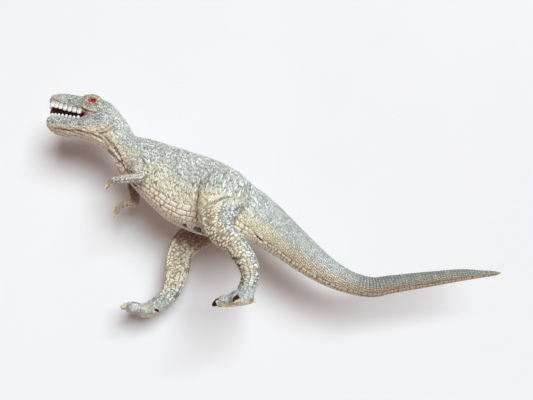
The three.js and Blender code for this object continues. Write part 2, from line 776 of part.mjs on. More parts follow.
// A slit through the skin, low on the tail's left side, that lets air in and out.
function ventSlit(way) {
  const slit = new THREE.BoxGeometry(VENT_SLIT_LENGTH, 4 * WALL, VENT_SLIT_WIDTH);
  slit.rotateY(-Math.atan2(way.z, way.x));
  const seam = line.sectionAt(line.tailSeam);
  const down = point(way.z, 0, -way.x);
  const middle = seam.at
    .clone()
    .addScaledVector(way, VENT_SLIT_BACK)
    .addScaledVector(down, VENT_SLIT_DOWN_SHARE * seam.high);
  slit.translate(middle.x, -VENT_SLIT_OUT_SHARE * seam.wide, middle.z);
  return solidOf(slit);
}

// A haunch: a dome on a straight rim, turned about the hip axis, standing on its flat side.
function haunch(side, inset) {
  const base = HIP_SEAT + SEAM_GAP + inset;
  const radius = HAUNCH_RADIUS - inset;
  const height = HAUNCH_THICKNESS - 2 * inset;
  const rim = Math.min(HAUNCH_RIM, height / 2);
  const profile = [new THREE.Vector2(0, 0), new THREE.Vector2(radius, 0)];
  const arcSteps = 4;
  for (let i = 0; i <= arcSteps; i += 1) {
    const angle = (Math.PI * i) / (2 * arcSteps);
    profile.push(
      new THREE.Vector2(radius * Math.cos(angle), rim + (height - rim) * Math.sin(angle)),
    );
  }
  profile[profile.length - 1].x = 0;
  const dome = new THREE.LatheGeometry(profile, ROUND_SIDES);
  if (side < 0) dome.rotateX(Math.PI);
  dome.translate(0, side * base, 0);
  return solidOf(dome);
}

// A toe or a finger: a rounded bar that ends in a claw bent down at its tip.
function digit(root, heading, pitch, { length, thickness, claw, clawThickness }) {
  const way = point(
    -Math.cos(pitch) * Math.cos(heading),
    Math.cos(pitch) * Math.sin(heading),
    Math.sin(pitch),
  );
  const hook = way.clone().add(point(0, 0, -CLAW_HOOK_SHARE)).normalize();
  const toeSections = toeRowShares.map(([along, girth]) =>
    round(root.clone().addScaledVector(way, along * length), (girth * thickness) / 2),
  );
  const end = root.clone().addScaledVector(way, length);
  const clawSections = clawRowShares.map(([along, girth]) =>
    round(end.clone().addScaledVector(hook, along * claw), (girth * clawThickness) / 2),
  );
  return loft([...toeSections, ...clawSections], TOE_SIDES);
}

function round(at, radius) {
  const squareness = { squareUp: ROUND_SQUARENESS, squareDown: ROUND_SQUARENESS };
  return { at, high: radius, wide: radius, ...squareness };
}

// The sections of a leg, from inside its haunch down to the ball of its foot.
function legSections(shares, side) {
  return shares.map(([back, down, depth, thickness]) => ({
    at: point(
      back * HIP_HEIGHT,
      side * (HIP_SEAT + SEAM_GAP + LEG_OUT_SHARE * THIGH_THICKNESS),
      -down * HIP_HEIGHT,
    ),
    high: (depth * THIGH_DEPTH) / 2,
    wide: (thickness * THIGH_THICKNESS) / 2,
    squareUp: LIMB_SQUARENESS,
    squareDown: LIMB_SQUARENESS,
  }));
}

function smoothSections(sections, perGap) {
  const rows = sections.map(({ at, high, wide }) => [...at.toArray(), high, wide]);
  const read = smoothTable([...rows.keys()], rows);
  const steps = perGap * (rows.length - 1);
  return Array.from({ length: steps + 1 }, (_, i) => {
    const [x, y, z, high, wide] = read((i * (rows.length - 1)) / steps);
    const squareness = { squareUp: LIMB_SQUARENESS, squareDown: LIMB_SQUARENESS };
    return { at: point(x, y, z), high, wide, ...squareness };
  });
}

// The ball of a foot below the end of its leg's line, with its toes spread from it.
function foot(end, side, { pitchDeg, ballAhead, ballDrop, toeRise, toes }) {
  const half = TOE.thickness / 2;
  const ground = -HIP_HEIGHT + half * SOLE_SHARE;
  const low = point(end.x, end.y, ground + toeRise);
  const digits = toes.map(({ headingDeg, ahead, out, size }) =>
    digit(
      low.clone().add(point(-ahead * half, side * out * half, 0)),
      turn(side * headingDeg),
      turn(size === REAR_TOE ? 0 : pitchDeg),
      size,
    ),
  );
  const ball = point(end.x - ballAhead, end.y, end.z - ballDrop);
  return joined([egg(ball, BALL_LENGTH, BALL_WIDTH, BALL_HEIGHT, 0), ...digits]);
}

// A leg casting: haunch, shin and foot in one skin, with its hip plug.
function leg(shares, side, footForm) {
  const sections = legSections(shares, side);
  const end = sections[sections.length - 1].at;
  const outside = loft(smoothSections(sections, 2), LEG_SIDES);
  const hollowSections = sections.slice(0, LEG_HOLLOW_ROWS).map(insideOf);
  const hollow = loft(smoothSections(hollowSections, 2), LEG_SIDES);
  const face = HIP_SEAT + SEAM_GAP;
  const beside = new THREE.BoxGeometry(4 * HIP_HEIGHT, face, 2 * LEG_FLAT_DROP);
  beside.translate(0, (side * face) / 2, 0);
  const floor = new THREE.BoxGeometry(4 * HIP_HEIGHT, 4 * HIP_HEIGHT, HIP_HEIGHT);
  floor.translate(0, 0, -HIP_HEIGHT - HIP_HEIGHT / 2);
  const way = point(0, -side, 0);
  const hipPlug = plug(point(0, side * face, 0), way, HIP_PLUG_RADIUS);
  const skin = cutFrom(joined([haunch(side, 0), outside, foot(end, side, footForm)]), [
    solidOf(beside),
    solidOf(floor),
    hollow,
    haunch(side, WALL),
  ]);
  return cutFrom(skin.add(hipPlug.solid), [hipPlug.bore]);
}

// An arm casting: shoulder disc, upper arm, forearm and a hand with two clawed fingers.
function arm({ reach, rise }, bones, side) {
  const face = SHOULDER_SEAT + SEAM_GAP;
  const start = point(-reach, side * (face + SHOULDER_THICKNESS / 2), rise);
  const joints = [start];
  const ways = [];
  for (const { length, pitchDeg, splayDeg } of bones) {
    const pitch = turn(pitchDeg);
    const splay = turn(splayDeg);
    const way = point(
      -Math.sin(pitch) * Math.cos(splay),
      side * Math.sin(splay),
      -Math.cos(pitch) * Math.cos(splay),
    );
    ways.push(way);
    joints.push(joints[joints.length - 1].clone().addScaledVector(way, length));
  }
  const places = armRowShares.map(({ bone, along, girth }) =>
    round(
      joints[bone].clone().lerp(joints[bone + 1], along),
      (girth * ARM_THICKNESS) / 2,
    ),
  );
  const limb = loft(smoothSections(places, 2), ARM_SIDES);
  const disc = bar(
    point(start.x, side * face, start.z),
    point(start.x, side * (face + SHOULDER_THICKNESS), start.z),
    SHOULDER_RADIUS,
    SHOULDER_RADIUS * SHOULDER_TOP_SHARE,
  );
  const handWay = ways[ways.length - 1];
  const handPitch = Math.asin(handWay.z);
  const knuckles = joints[joints.length - 1];
  const fingers = [-1, 1].map((place) =>
    digit(
      knuckles.clone().addScaledVector(handWay, -FINGER.thickness / 2),
      turn(place * FINGER_SPREAD_DEG),
      handPitch,
      FINGER,
    ),
  );
  const beside = new THREE.BoxGeometry(reach, face, reach);
  beside.translate(-reach, (side * face) / 2, rise);
  const shoulderPlug = plug(
    point(start.x, side * face, start.z),
    point(0, -side, 0),
    SHOULDER_PLUG_RADIUS,
  );
  return cutFrom(joined([limb, disc, ...fingers]), [solidOf(beside)]).add(shoulderPlug.solid);
}

// A casting as a named mesh in the vinyl's colour.
function casting(name, solid) {
  const { vertProperties, triVerts, numProp, numVert } = solid.getMesh();
  const corners = new Float32Array(3 * numVert);
  for (let i = 0; i < numVert; i += 1) {
    corners.set(vertProperties.subarray(i * numProp, i * numProp + 3), 3 * i);
  }
  const geometry = new THREE.BufferGeometry();
  geometry.setAttribute("position", new THREE.BufferAttribute(corners, 3));
  geometry.setIndex(new THREE.BufferAttribute(new Uint32Array(triVerts), 1));
  geometry.computeVertexNormals();
  const mesh = new THREE.Mesh(geometry, new THREE.MeshStandardMaterial(SKIN));
  mesh.name = name;
  return mesh;
}

const figure = new THREE.Group();
figure.add(casting("body_shell", bodyShell()));
figure.add(casting("head_and_neck", headAndNeck()));
figure.add(casting("tail", tailCasting()));
figure.add(casting("left_arm", arm(fromNeckSeam(LEFT_SHOULDER), leftArmBones, -1)));
figure.add(casting("right_arm", arm(fromNeckSeam(RIGHT_SHOULDER), rightArmBones, 1)));
figure.add(casting("left_leg", leg(leftLegShares, -1, leftFoot)));
figure.add(casting("right_leg", leg(rightLegShares, 1, rightFoot)));

// The figure stands over the origin: the middle of its box, with its soles on z = 0.
const box = new THREE.Box3().setFromObject(figure);
const middle = box.getCenter(new THREE.Vector3());
figure.position.set(-middle.x, -middle.y, -box.min.z);

export default figure;
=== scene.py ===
"""A soft vinyl toy dinosaur, dressed over its seven packed castings.

Shapes are worked out in millimetres from the hip axis, with the head towards -x, the
figure's left side towards -y and +z up, and are placed in metres on the castings.
"""

from __future__ import annotations

import itertools
import json
import logging
import math
from collections.abc import Sequence
from dataclasses import dataclass, field
from enum import Enum

import bpy
import numpy as np
from mathutils import Matrix, Vector


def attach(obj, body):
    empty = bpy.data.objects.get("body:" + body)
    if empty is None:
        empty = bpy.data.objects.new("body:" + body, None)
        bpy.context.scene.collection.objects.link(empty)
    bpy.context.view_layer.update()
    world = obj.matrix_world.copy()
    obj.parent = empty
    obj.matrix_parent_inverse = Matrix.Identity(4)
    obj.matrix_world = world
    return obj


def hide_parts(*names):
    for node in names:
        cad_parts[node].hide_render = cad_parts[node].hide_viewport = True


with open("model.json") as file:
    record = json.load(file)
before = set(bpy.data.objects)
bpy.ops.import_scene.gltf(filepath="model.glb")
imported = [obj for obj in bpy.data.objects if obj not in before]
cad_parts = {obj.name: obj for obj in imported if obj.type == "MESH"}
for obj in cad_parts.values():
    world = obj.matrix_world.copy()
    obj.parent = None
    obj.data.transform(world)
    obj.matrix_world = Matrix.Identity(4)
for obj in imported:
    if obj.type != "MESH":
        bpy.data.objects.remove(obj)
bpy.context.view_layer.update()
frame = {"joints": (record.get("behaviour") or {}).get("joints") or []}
LOG = logging.getLogger("dinosaur")
MM = 0.001

Points = np.ndarray
Faces = np.ndarray
Path = Sequence[tuple[float, float]]  # drawn on the figure's side


def hip_axis() -> np.ndarray:
    """Finds the middle of the hip axis, in millimetres, from the record's two hip joints."""
    places = [j["pos_m"] for j in frame["joints"] if j["name"].endswith("_hip")]
    return np.mean(np.array(places, float), axis=0) / MM


HIP = hip_axis()


@dataclass(frozen=True)
class Swivel:
    """A joint of the record: its place in millimetres from the hip axis, and its axis."""

    place: np.ndarray
    axis: np.ndarray

    @classmethod
    def named(cls, name: str) -> Swivel:
        """Looks a joint up by its name in the record."""
        found = next(joint for joint in frame["joints"] if joint["name"] == name)
        return cls(np.array(found["pos_m"], float) / MM - HIP, np.array(found["axis"], float))


NECK_SWIVEL, TAIL_SWIVEL = Swivel.named("neck_swivel"), Swivel.named("tail_swivel")


# Numbers over points


def unit(value: np.ndarray) -> np.ndarray:
    """Keeps values from 0 to 1."""
    return np.clip(value, 0, 1)


def mix(first: np.ndarray, second: np.ndarray, share: np.ndarray) -> np.ndarray:
    """Goes from the first values to the second as the share goes from 0 to 1."""
    return first + (second - first) * share


def strongest(layers: Sequence[np.ndarray]) -> np.ndarray:
    """The largest value of several layers at each point."""
    return np.max(layers, axis=0)


def smooth(low: float, high: float, value: np.ndarray) -> np.ndarray:
    """Rises smoothly from 0 at low to 1 at high, or falls where low is above high."""
    share = unit((value - low) / (high - low))
    return share * share * (3 - 2 * share)


def bell(value: np.ndarray, middle: float, width: float) -> np.ndarray:
    """1 at the middle, falling to 0 on both sides of it."""
    return np.exp(-(((value - middle) / width) ** 2))


def off_middle(value: np.ndarray) -> np.ndarray:
    """0 in the middle of each whole-number cell, rising to 1 at both its ends."""
    return np.abs(2 * (value - np.floor(value)) - 1)


def run_along(places: np.ndarray) -> np.ndarray:
    """How far along a line each of its own places lies."""
    steps = np.linalg.norm(np.diff(places, axis=0), axis=1)
    return np.concatenate([[0], np.cumsum(steps)])


def circle(sides: int) -> np.ndarray:
    """Even angles round a whole turn."""
    return np.linspace(0, 2 * math.pi, sides, endpoint=False)


def cubic(keys: np.ndarray, rows: np.ndarray, places: np.ndarray) -> np.ndarray:
    """Reads a table smoothly, with the spline that the castings' own tables use.

    Args:
        keys: The rising key of each row.
        rows: The values, one row per key.
        places: Where to read.

    Returns:
        One row of values per place.
    """
    last = len(keys) - 1
    i = np.clip(np.searchsorted(keys, places, side="right") - 1, 0, last - 1)
    start, stop = keys[i], keys[i + 1]
    gap = stop - start
    before = np.where(i > 0, keys[np.maximum(i - 1, 0)], stop)
    after = np.where(i < last - 1, keys[np.minimum(i + 2, last)], start)
    row_before = rows[np.where(i > 0, i - 1, i + 1)]
    row_after = rows[np.where(i < last - 1, i + 2, i)]
    pull = (gap / 2 / (start - before))[:, None]
    push = (gap / 2 / (after - stop))[:, None]
    p = ((places - start) / gap)[:, None]
    weights = (
        -pull * p**3 + 2 * pull * p**2 - pull * p,
        (1 + pull) * p**3 - (1.5 + 2 * pull) * p**2 + (pull - 0.5) * p + 1,
        -(1 + push) * p**3 + (1.5 + push) * p**2 + 0.5 * p,
        push * p**3 - push * p**2,
    )
    values = (row_before, rows[i], rows[i + 1], row_after)
    return sum(w * v for w, v in zip(weights, values))


# Large odd numbers that scatter a cell's coordinates and its seed.
CELL_STEPS = np.array([73856093, 19349663, 83492791], np.int64)
SEED_STEP = 7919
SCATTER = ((13, 60493), (11, 40503))


def lattice(cells: np.ndarray, seed: int) -> np.ndarray:
    """Gives each whole-number cell its own fixed value from 0 to 1."""
    steps = CELL_STEPS[: cells.shape[-1]]
    mixed = (cells.astype(np.int64) * steps).sum(-1) + SEED_STEP * (seed + 1)
    for shift, factor in SCATTER:
        mixed = ((mixed ^ (mixed >> shift)) & 0xFFFFFF) * factor
    return ((mixed ^ (mixed >> 9)) & 0xFFFF) / 0xFFFF


def noise(places: Points, seed: int) -> np.ndarray:
    """Smooth noise from -1 to 1, with features one unit wide."""
    base = np.floor(places)
    share = places - base
    share = share * share * (3 - 2 * share)
    total = np.zeros(places.shape[:-1])
    for corner in itertools.product((0, 1), repeat=places.shape[-1]):
        weight = np.prod(np.where(corner, share, 1 - share), axis=-1)
        total += weight * lattice(base + np.array(corner), seed)
    return 2 * total - 1


def pebbles(places: Points, seed: int) -> np.ndarray:
    """Rounded scales one unit wide.

    Args:
        places: Where to read.
        seed: Which of the patterns.

    Returns:
        0 in the gaps between scales and 1 on their tops, and each scale's own chance.
    """
    base = np.floor(places)
    near = np.full(places.shape[:-1], 9.0)
    second, chance = near.copy(), near.copy()
    for step in itertools.product((-1, 0, 1), repeat=places.shape[-1]):
        cell = base + np.array(step)
        middle = np.stack(
            [0.15 + 0.7 * lattice(cell, seed + i) for i in range(cell.shape[-1])], -1
        )
        away = np.linalg.norm(cell + middle - places, axis=-1)
        chance = np.where(away < near, lattice(cell, seed + 5), chance)
        second = np.minimum(second, np.maximum(near, away))
        near = np.minimum(near, away)
    return np.array([smooth(0.02, 0.42, second - near), chance])


def away_from(path: Path, places: Points) -> np.ndarray:
    """The distance from each (x, z) place to a path of such places."""
    nearest = np.full(len(places), 1e9)
    for start, stop in itertools.pairwise(np.array(path, float)):
        way = stop - start
        share = np.clip((places - start) @ way / (way @ way), 0, 1)
        gap = np.linalg.norm(places - start - share[:, None] * way, axis=1)
        nearest = np.minimum(nearest, gap)
    return nearest


def groove(path: Path, places: Points, width: float) -> np.ndarray:
    """1 along a path drawn on the figure's side, falling to 0 beside it."""
    return bell(away_from(path, places[:, [0, 2]]), 0, width)


@dataclass(frozen=True)
class Fold:
    """A fold of the skin, drawn on the figure's side."""

    path: Path  # x and z
    width: float
    depth: float
    # how dark the fold is painted, partly a stain and partly painted shade
    stain_and_shade: float


# Surfaces


@dataclass
class Skin:
    """A closed surface while it is being shaped. A triangle repeats its last corner."""

    points: Points
    faces: Faces
    masks: dict[str, np.ndarray] = field(default_factory=dict)

    def normals(self) -> Points:
        """The outward direction at each point."""
        a, b, c, d = (self.points[self.faces[:, i]] for i in range(4))
        across = np.cross(c - a, d - b)
        total = np.zeros_like(self.points)
        for i in range(4):
            np.add.at(total, self.faces[:, i], across)
        return total / np.maximum(np.linalg.norm(total, axis=1), 1e-9)[:, None]

    def face_outward(self) -> Skin:
        """Turns the faces over where the surface is inside out."""
        a, b, c, d = (self.points[self.faces[:, i]] for i in range(4))
        volume = (a * np.cross(b, c)).sum() + (a * np.cross(c, d)).sum()
        if volume < 0:
            self.faces = self.faces[:, ::-1]
        return self

    def push(self, height: np.ndarray) -> None:
        """Moves each point outward by its own height."""
        self.points = self.points + self.normals() * height[:, None]

    def relax(self, rounds: int, hold: np.ndarray) -> None:
        """Smooths the surface by moving points towards their neighbours.

        Args:
            rounds: How many times.
            hold: How far each point takes part, from 0 to 1.
        """
        pairs = np.concatenate([self.faces[:, [i, (i + 1) % 4]] for i in range(4)])
        pairs = pairs[pairs[:, 0] != pairs[:, 1]]
        count = np.zeros(len(self.points))
        np.add.at(count, pairs[:, 0], 1)
        weight = 0.5 * hold[:, None]
        for _ in range(rounds):
            total = np.zeros_like(self.points)
            np.add.at(total, pairs[:, 0], self.points[pairs[:, 1]])
            mean = total / np.maximum(count, 1)[:, None]
            self.points = self.points + weight * (mean - self.points)


def capped_tube(rings: Points) -> Skin:
    """Closes a stack of rings, shaped (rings, sides, 3), into a skin with flat ends."""
    count, sides = rings.shape[:2]
    points = np.vstack([rings.reshape(-1, 3), rings[0].mean(0), rings[-1].mean(0)])
    here = np.arange(count * sides).reshape(count, sides)
    beside = np.roll(here, -1, axis=1)
    walls = np.stack([here[:-1], beside[:-1], beside[1:], here[1:]], -1).reshape(-1, 4)
    first, last = count * sides, count * sides + 1
    near = np.stack([beside[0], here[0], *2 * [np.full(sides, first)]], -1)
    far = np.stack([here[-1], beside[-1], *2 * [np.full(sides, last)]], -1)
    return Skin(points, np.concatenate([walls, near, far])).face_outward()


def turned(x: float, z: float, radius: np.ndarray, out: np.ndarray, sides: int) -> Skin:
    """A round form about an axis that runs across the figure.

    Args:
        x: Where the axis lies along the figure.
        z: How high it lies.
        radius: The radius of each ring.
        out: Where each ring lies across the figure.
        sides: How many corners a ring has.

    Returns:
        The closed form.
    """
    angle = circle(sides)
    rings = np.stack(
        [
            x + radius[:, None] * np.cos(angle),
            np.broadcast_to(out[:, None], (len(out), sides)),
            z + radius[:, None] * np.sin(angle),
        ],
        -1,
    )
    return capped_tube(rings)


def superellipse(
    sides: int, square_up: float | np.ndarray, square_down: float | np.ndarray
) -> np.ndarray:
    """Across and up shares round a section: 2 is an ellipse, and more is squarer."""
    angle = circle(sides)
    side, rise = np.cos(angle), np.sin(angle)
    power = 2 / np.where(rise > 0, square_up, square_down)
    wide = np.sign(side) * np.abs(side) ** power
    high = np.sign(rise) * np.abs(rise) ** power
    return np.stack([wide, high], -1)


def tube(
    middles: Points, high: np.ndarray, wide: np.ndarray, sides: int, square: float = 2.0
) -> Skin:
    """A closed tube along a line of middles.

    Args:
        middles: The points that the tube follows.
        high: Half the height of each section.
        wide: Half the width of each section.
        sides: How many corners a section has.
        square: The squareness of the sections.

    Returns:
        The tube.
    """
    along = np.gradient(middles, axis=0)
    along /= np.linalg.norm(along, axis=1)[:, None]
    across = np.array([0, 1, 0]) - along * along[:, 1:2]
    across /= np.linalg.norm(across, axis=1)[:, None]
    up = np.cross(along, across)
    shape = superellipse(sides, square, square)
    rings = (
        middles[:, None]
        + across[:, None] * (wide[:, None] * shape[:, 0])[..., None]
        + up[:, None] * (high[:, None] * shape[:, 1])[..., None]
    )
    return capped_tube(rings)


def egg(middle: Points, radii: tuple[float, float, float], tilt: float = 0.0) -> Skin:
    """An egg shape with its own three radii, tilted about y."""
    rows, sides = 24, 32
    angle = np.linspace(0.04, math.pi - 0.04, rows)
    ring = circle(sides)
    shape = np.stack(
        [
            np.broadcast_to(-np.cos(angle)[:, None], (rows, sides)),
            np.sin(angle)[:, None] * np.cos(ring),
            np.sin(angle)[:, None] * np.sin(ring),
        ],
        -1,
    ) * np.array(radii)
    c, s = math.cos(tilt), math.sin(tilt)
    turned = shape @ np.array([[c, 0, -s], [0, 1, 0], [s, 0, c]])
    return capped_tube(turned + middle)


def fused(skins: list[Skin], voxel: float) -> Skin:
    """Joins closed skins that overlap into one even skin by a voxel remesh.

    Args:
        skins: The closed skins.
        voxel: The size of the new faces.

    Returns:
        The joined skin.
    """
    start, points, faces = 0, [], []
    for skin in skins:
        points.append(skin.points)
        faces.append(skin.faces + start)
        start += len(skin.points)
    rough = plain_mesh("rough", np.vstack(points), np.vstack(faces))
    holder = bpy.data.objects.new("rough", rough)
    bpy.context.scene.collection.objects.link(holder)
    remesh = holder.modifiers.new("fuse", "REMESH")
    remesh.mode = "VOXEL"
    remesh.voxel_size = voxel
    graph = bpy.context.evaluated_depsgraph_get()
    mesh = holder.evaluated_get(graph).to_mesh()
    joined = np.zeros(3 * len(mesh.vertices))
    mesh.vertices.foreach_get("co", joined)
    corners = np.zeros(4 * len(mesh.polygons), np.int32)
    mesh.polygons.foreach_get("vertices", corners)
    bpy.data.objects.remove(holder)
    bpy.data.meshes.remove(rough)
    return Skin(joined.reshape(-1, 3), corners.reshape(-1, 4)).face_outward()


def plain_mesh(name: str, points: Points, faces: Faces) -> bpy.types.Mesh:
    """A Blender mesh of a skin's points and faces, as they are."""
    mesh = bpy.data.meshes.new(name)
    rows = [row[:3] if row[2] == row[3] else row for row in faces.tolist()]
    mesh.from_pydata(points.tolist(), [], rows)
    mesh.polygons.foreach_set("use_smooth", np.ones(len(rows), bool))
    mesh.update()
    return mesh


def merged(skins: list[Skin]) -> Skin:
    """Several separate closed skins as one piece, with the masks that they share."""
    start, faces = 0, []
    for skin in skins:
        faces.append(skin.faces + start)
        start += len(skin.points)
    masks = {
        name: np.concatenate([skin.masks[name] for skin in skins])
        for name in skins[0].masks
    }
    return Skin(np.vstack([skin.points for skin in skins]), np.vstack(faces), masks)


# Shader maths


class Signal:
    """A socket that carries a number, a colour or a vector, with operators for numbers."""

    def __init__(self, book: Book, socket: bpy.types.NodeSocket) -> None:
        """Holds the socket and the book whose nodes it belongs to."""
        self.book = book
        self.socket = socket

    def _math(self, operation: str, first: Shade, second: Shade = 0.0) -> Signal:
        """Adds a Math node."""
        return self.book.node(
            "ShaderNodeMath", {"operation": operation}, {0: first, 1: second}
        )

    def __add__(self, other: Shade) -> Signal:
        """self + other."""
        return self._math("ADD", self, other)

    def __sub__(self, other: Shade) -> Signal:
        """self - other."""
        return self._math("SUBTRACT", self, other)

    def __rsub__(self, other: Shade) -> Signal:
        """other - self."""
        return self._math("SUBTRACT", other, self)

    def __mul__(self, other: Shade) -> Signal:
        """self * other."""
        return self._math("MULTIPLY", self, other)

    __radd__ = __add__
    __rmul__ = __mul__

    def clamp(self) -> Signal:
        """Keeps the number from 0 to 1."""
        return self.book.node("ShaderNodeClamp", {}, {"Value": self})

    def rise(self, low: float, high: float) -> Signal:
        """Rises smoothly from 0 at low to 1 at high, or falls where low is above high."""
        settings = {"interpolation_type": "SMOOTHSTEP"}
        if low < high:
            inputs = {"Value": self, "From Min": low, "From Max": high}
        else:
            inputs = {"Value": self, "From Min": high, "From Max": low}
            inputs |= {"To Min": 1.0, "To Max": 0.0}
        return self.book.node("ShaderNodeMapRange", settings, inputs)


Shade = Signal | float
Colour = tuple[float, float, float]


def paint(red: int, green: int, blue: int) -> Colour:
    """A colour as it looks on a screen, from 0 to 255, in the shader's linear values."""
    shares = (value / 255 for value in (red, green, blue))
    return tuple(s / 12.92 if s <= 0.04045 else ((s + 0.055) / 1.055) ** 2.4 for s in shares)


class Book:
    """The nodes of one material."""

    def __init__(self, name: str) -> None:
        """Starts an empty material."""
        self.material = bpy.data.materials.new(name)
        self.material.use_nodes = True
        self.tree = self.material.node_tree
        self.tree.nodes.clear()

    def node(
        self, kind: str, settings: dict, inputs: dict, output: int | str = 0
    ) -> Signal:
        """Adds any node.

        Args:
            kind: The node's type.
            settings: Its own settings, which are set first.
            inputs: The value or signal of each socket, by name or number.
            output: The socket that is wanted from it.

        Returns:
            The wanted output.
        """
        made = self.tree.nodes.new(kind)
        for name, value in settings.items():
            setattr(made, name, value)
        for key, value in inputs.items():
            if isinstance(value, Signal):
                self.tree.links.new(value.socket, made.inputs[key])
            elif isinstance(value, tuple) and made.inputs[key].type == "RGBA":
                made.inputs[key].default_value = (*value[:3], 1.0)
            else:
                made.inputs[key].default_value = value
        return Signal(self, made.outputs[output])

    def mask(self, name: str) -> Signal:
        """A number that the mesh carries at each point."""
        return self.node("ShaderNodeAttribute", {"attribute_name": name}, {}, "Fac")

    def place(self) -> Signal:
        """The place on the figure in metres, which turns with the piece."""
        return self.node("ShaderNodeTexCoord", {}, {}, "Object")

    def blend(self, share: Shade, low: Signal | Colour, high: Signal | Colour) -> Signal:
        """Mixes two colours."""
        inputs = {0: share, 6: low, 7: high}
        return self.node("ShaderNodeMix", {"data_type": "RGBA"}, inputs, 2)

    def cloud(self, where: Signal, scale: float, detail: float = 3.0) -> Signal:
        """Soft noise from 0 to 1."""
        inputs = {"Vector": where, "Scale": scale, "Detail": detail}
        return self.node("ShaderNodeTexNoise", {}, inputs, "Fac")

    def cells(self, where: Signal, scale: float, output: str) -> Signal:
        """A pattern of beads, by their distance or colour."""
        inputs = {"Vector": where, "Scale": scale, "Randomness": 0.85}
        return self.node("ShaderNodeTexVoronoi", {"feature": "F1"}, inputs, output)

    def bump(self, height: Signal, distance: float, strength: float) -> Signal:
        """Turns a height into a normal. The distance is in metres."""
        inputs = {"Height": height, "Distance": distance, "Strength": strength}
        return self.node("ShaderNodeBump", {}, inputs)

    def surface(self, inputs: dict) -> bpy.types.Material:
        """Ends the material with a Principled shader."""
        shader = self.node("ShaderNodeBsdfPrincipled", {}, inputs)
        self.node_output(shader)
        return self.material

    def node_output(self, shader: Signal) -> None:
        """Links a shader to the material's surface."""
        made = self.tree.nodes.new("ShaderNodeOutputMaterial")
        self.tree.links.new(shader.socket, made.inputs["Surface"])


# Finishes


@dataclass(frozen=True)
class SprayedVinyl:
    """Cream vinyl with moulded scales, sprayed grey-green and washed brown in its folds,
    with painted shade in its gaps and hollows and painted highlights on its scale tops.

    It follows seven masks of a skin, each from 0 to 1: top, from the gaps between scales
    to their tops; chance, each scale's own shade; spray, how far grey covers the cream;
    dip, the dark paint in hollows, partly a wash and partly painted shade;
    wash, the tan over them; ink, the blots; and gold.
    """

    name: str
    cream: Colour = paint(240, 229, 197)
    spray: Colour = paint(196, 202, 197)
    cool: Colour = paint(168, 180, 185)
    # bright and warm: painted highlights on the scale tops, over the grey and over the cream,
    # partly dry-brushed paint
    bright: Colour = paint(255, 255, 251)
    warm: Colour = paint(255, 250, 232)
    # gap and olive: the dark of the gaps and hollows, over the grey and over the cream, partly a
    # wash and partly painted shade
    gap: Colour = paint(98, 100, 90)
    olive: Colour = paint(126, 114, 84)
    tan: Colour = paint(216, 186, 160)
    brown: Colour = paint(116, 80, 62)
    ink: Colour = paint(50, 47, 54)
    gold: Colour = paint(226, 200, 140)
    patch_scale: float = 130.0  # how many features of the noise a metre holds
    grain_scale: float = 1500.0
    bead_scale: float = 1050.0
    bead_height: float = 0.00024  # in metres

    def material(self) -> bpy.types.Material:
        """Builds the layers from the vinyl up to the last wash."""
        book = Book(self.name)
        place = book.place()
        top, chance, dip, wash = (book.mask(key) for key in ("top", "chance", "dip", "wash"))
        patch = book.cloud(place, self.patch_scale)
        fine = book.cloud(place, self.grain_scale)
        spots = book.cells(place, self.bead_scale, "Color")
        bead = book.cells(place, self.bead_scale, "Distance")
        fleck = book.node("ShaderNodeSeparateColor", {}, {"Color": spots}, "Red")
        cover = book.mask("spray") * 1.5 - 0.25 + (patch - 0.5) * 0.7
        cover = (cover + (chance - 0.5) * 0.7 + (fleck - 0.5) * 0.7).rise(0.0, 0.95)
        grey = book.blend(fleck.rise(0.5, 0.9) * 0.7, self.spray, self.cool)
        skin = book.blend(cover, self.cream, grey)
        # painted shade in the gaps between scales, with the wash there
        gap_shade = book.blend(cover, self.olive, self.gap)
        # darker towards the gaps between scales as painted shade, and darker scales at random
        shade = top.rise(0.62, 0.0) * (0.6 + 0.5 * fine)
        shade = shade + (chance * 0.6 + fine * 0.6).rise(0.5, 0.24) * 0.45
        skin = book.blend(shade.clamp() * 0.9, skin, gap_shade)
        # lit: painted highlights on the scale tops, partly dry-brushed paint
        lit = top.rise(0.3, 0.85) * (chance * 0.6 + fleck * 0.5).rise(0.46, 0.78)
        skin = book.blend(lit * 0.85, skin, book.blend(cover, self.warm, self.bright))
        skin = book.blend(book.mask("gold") * 0.75, skin, self.gold)
        skin = book.blend((wash * (0.55 + 0.3 * patch)).clamp(), skin, self.tan)
        # the dark paint in hollows: partly a brown wash and partly painted shade
        line = book.blend((wash * 2.2).clamp(), gap_shade, self.brown)
        skin = book.blend((dip * (0.6 + 0.5 * fine)).clamp(), skin, line)
        skin = book.blend((book.mask("ink") * (0.75 + 0.5 * fleck)).clamp(), skin, self.ink)
        height = bead.rise(0.7, 0.1) * 0.7 + fine * 0.5
        return book.surface(
            {
                "Base Color": skin,
                "Roughness": 0.4 + shade * 0.2 + (fine - 0.5) * 0.12,
                "Specular IOR Level": 0.5,
                "Normal": book.bump(height, self.bead_height, 0.9),
            }
        )


@dataclass(frozen=True)
class MouthPaint:
    """Wet-looking dark red paint inside the jaws, bright red at the corner."""

    name: str = "mouth_red"
    deep: Colour = paint(62, 14, 18)
    dark: Colour = paint(22, 5, 8)
    corner: Colour = paint(226, 62, 48)

    def material(self) -> bpy.types.Material:
        """Mottles the red and brightens it where the mesh says so."""
        book = Book(self.name)
        spot = book.cloud(book.place(), 420.0)
        red = book.blend(spot.rise(0.35, 0.7), self.dark, self.deep)
        red = book.blend(book.mask("corner"), red, self.corner)
        normal = book.bump(spot, 0.0004, 0.6)
        return book.surface(
            {"Base Color": red, "Roughness": 0.3 + spot * 0.2, "Normal": normal}
        )


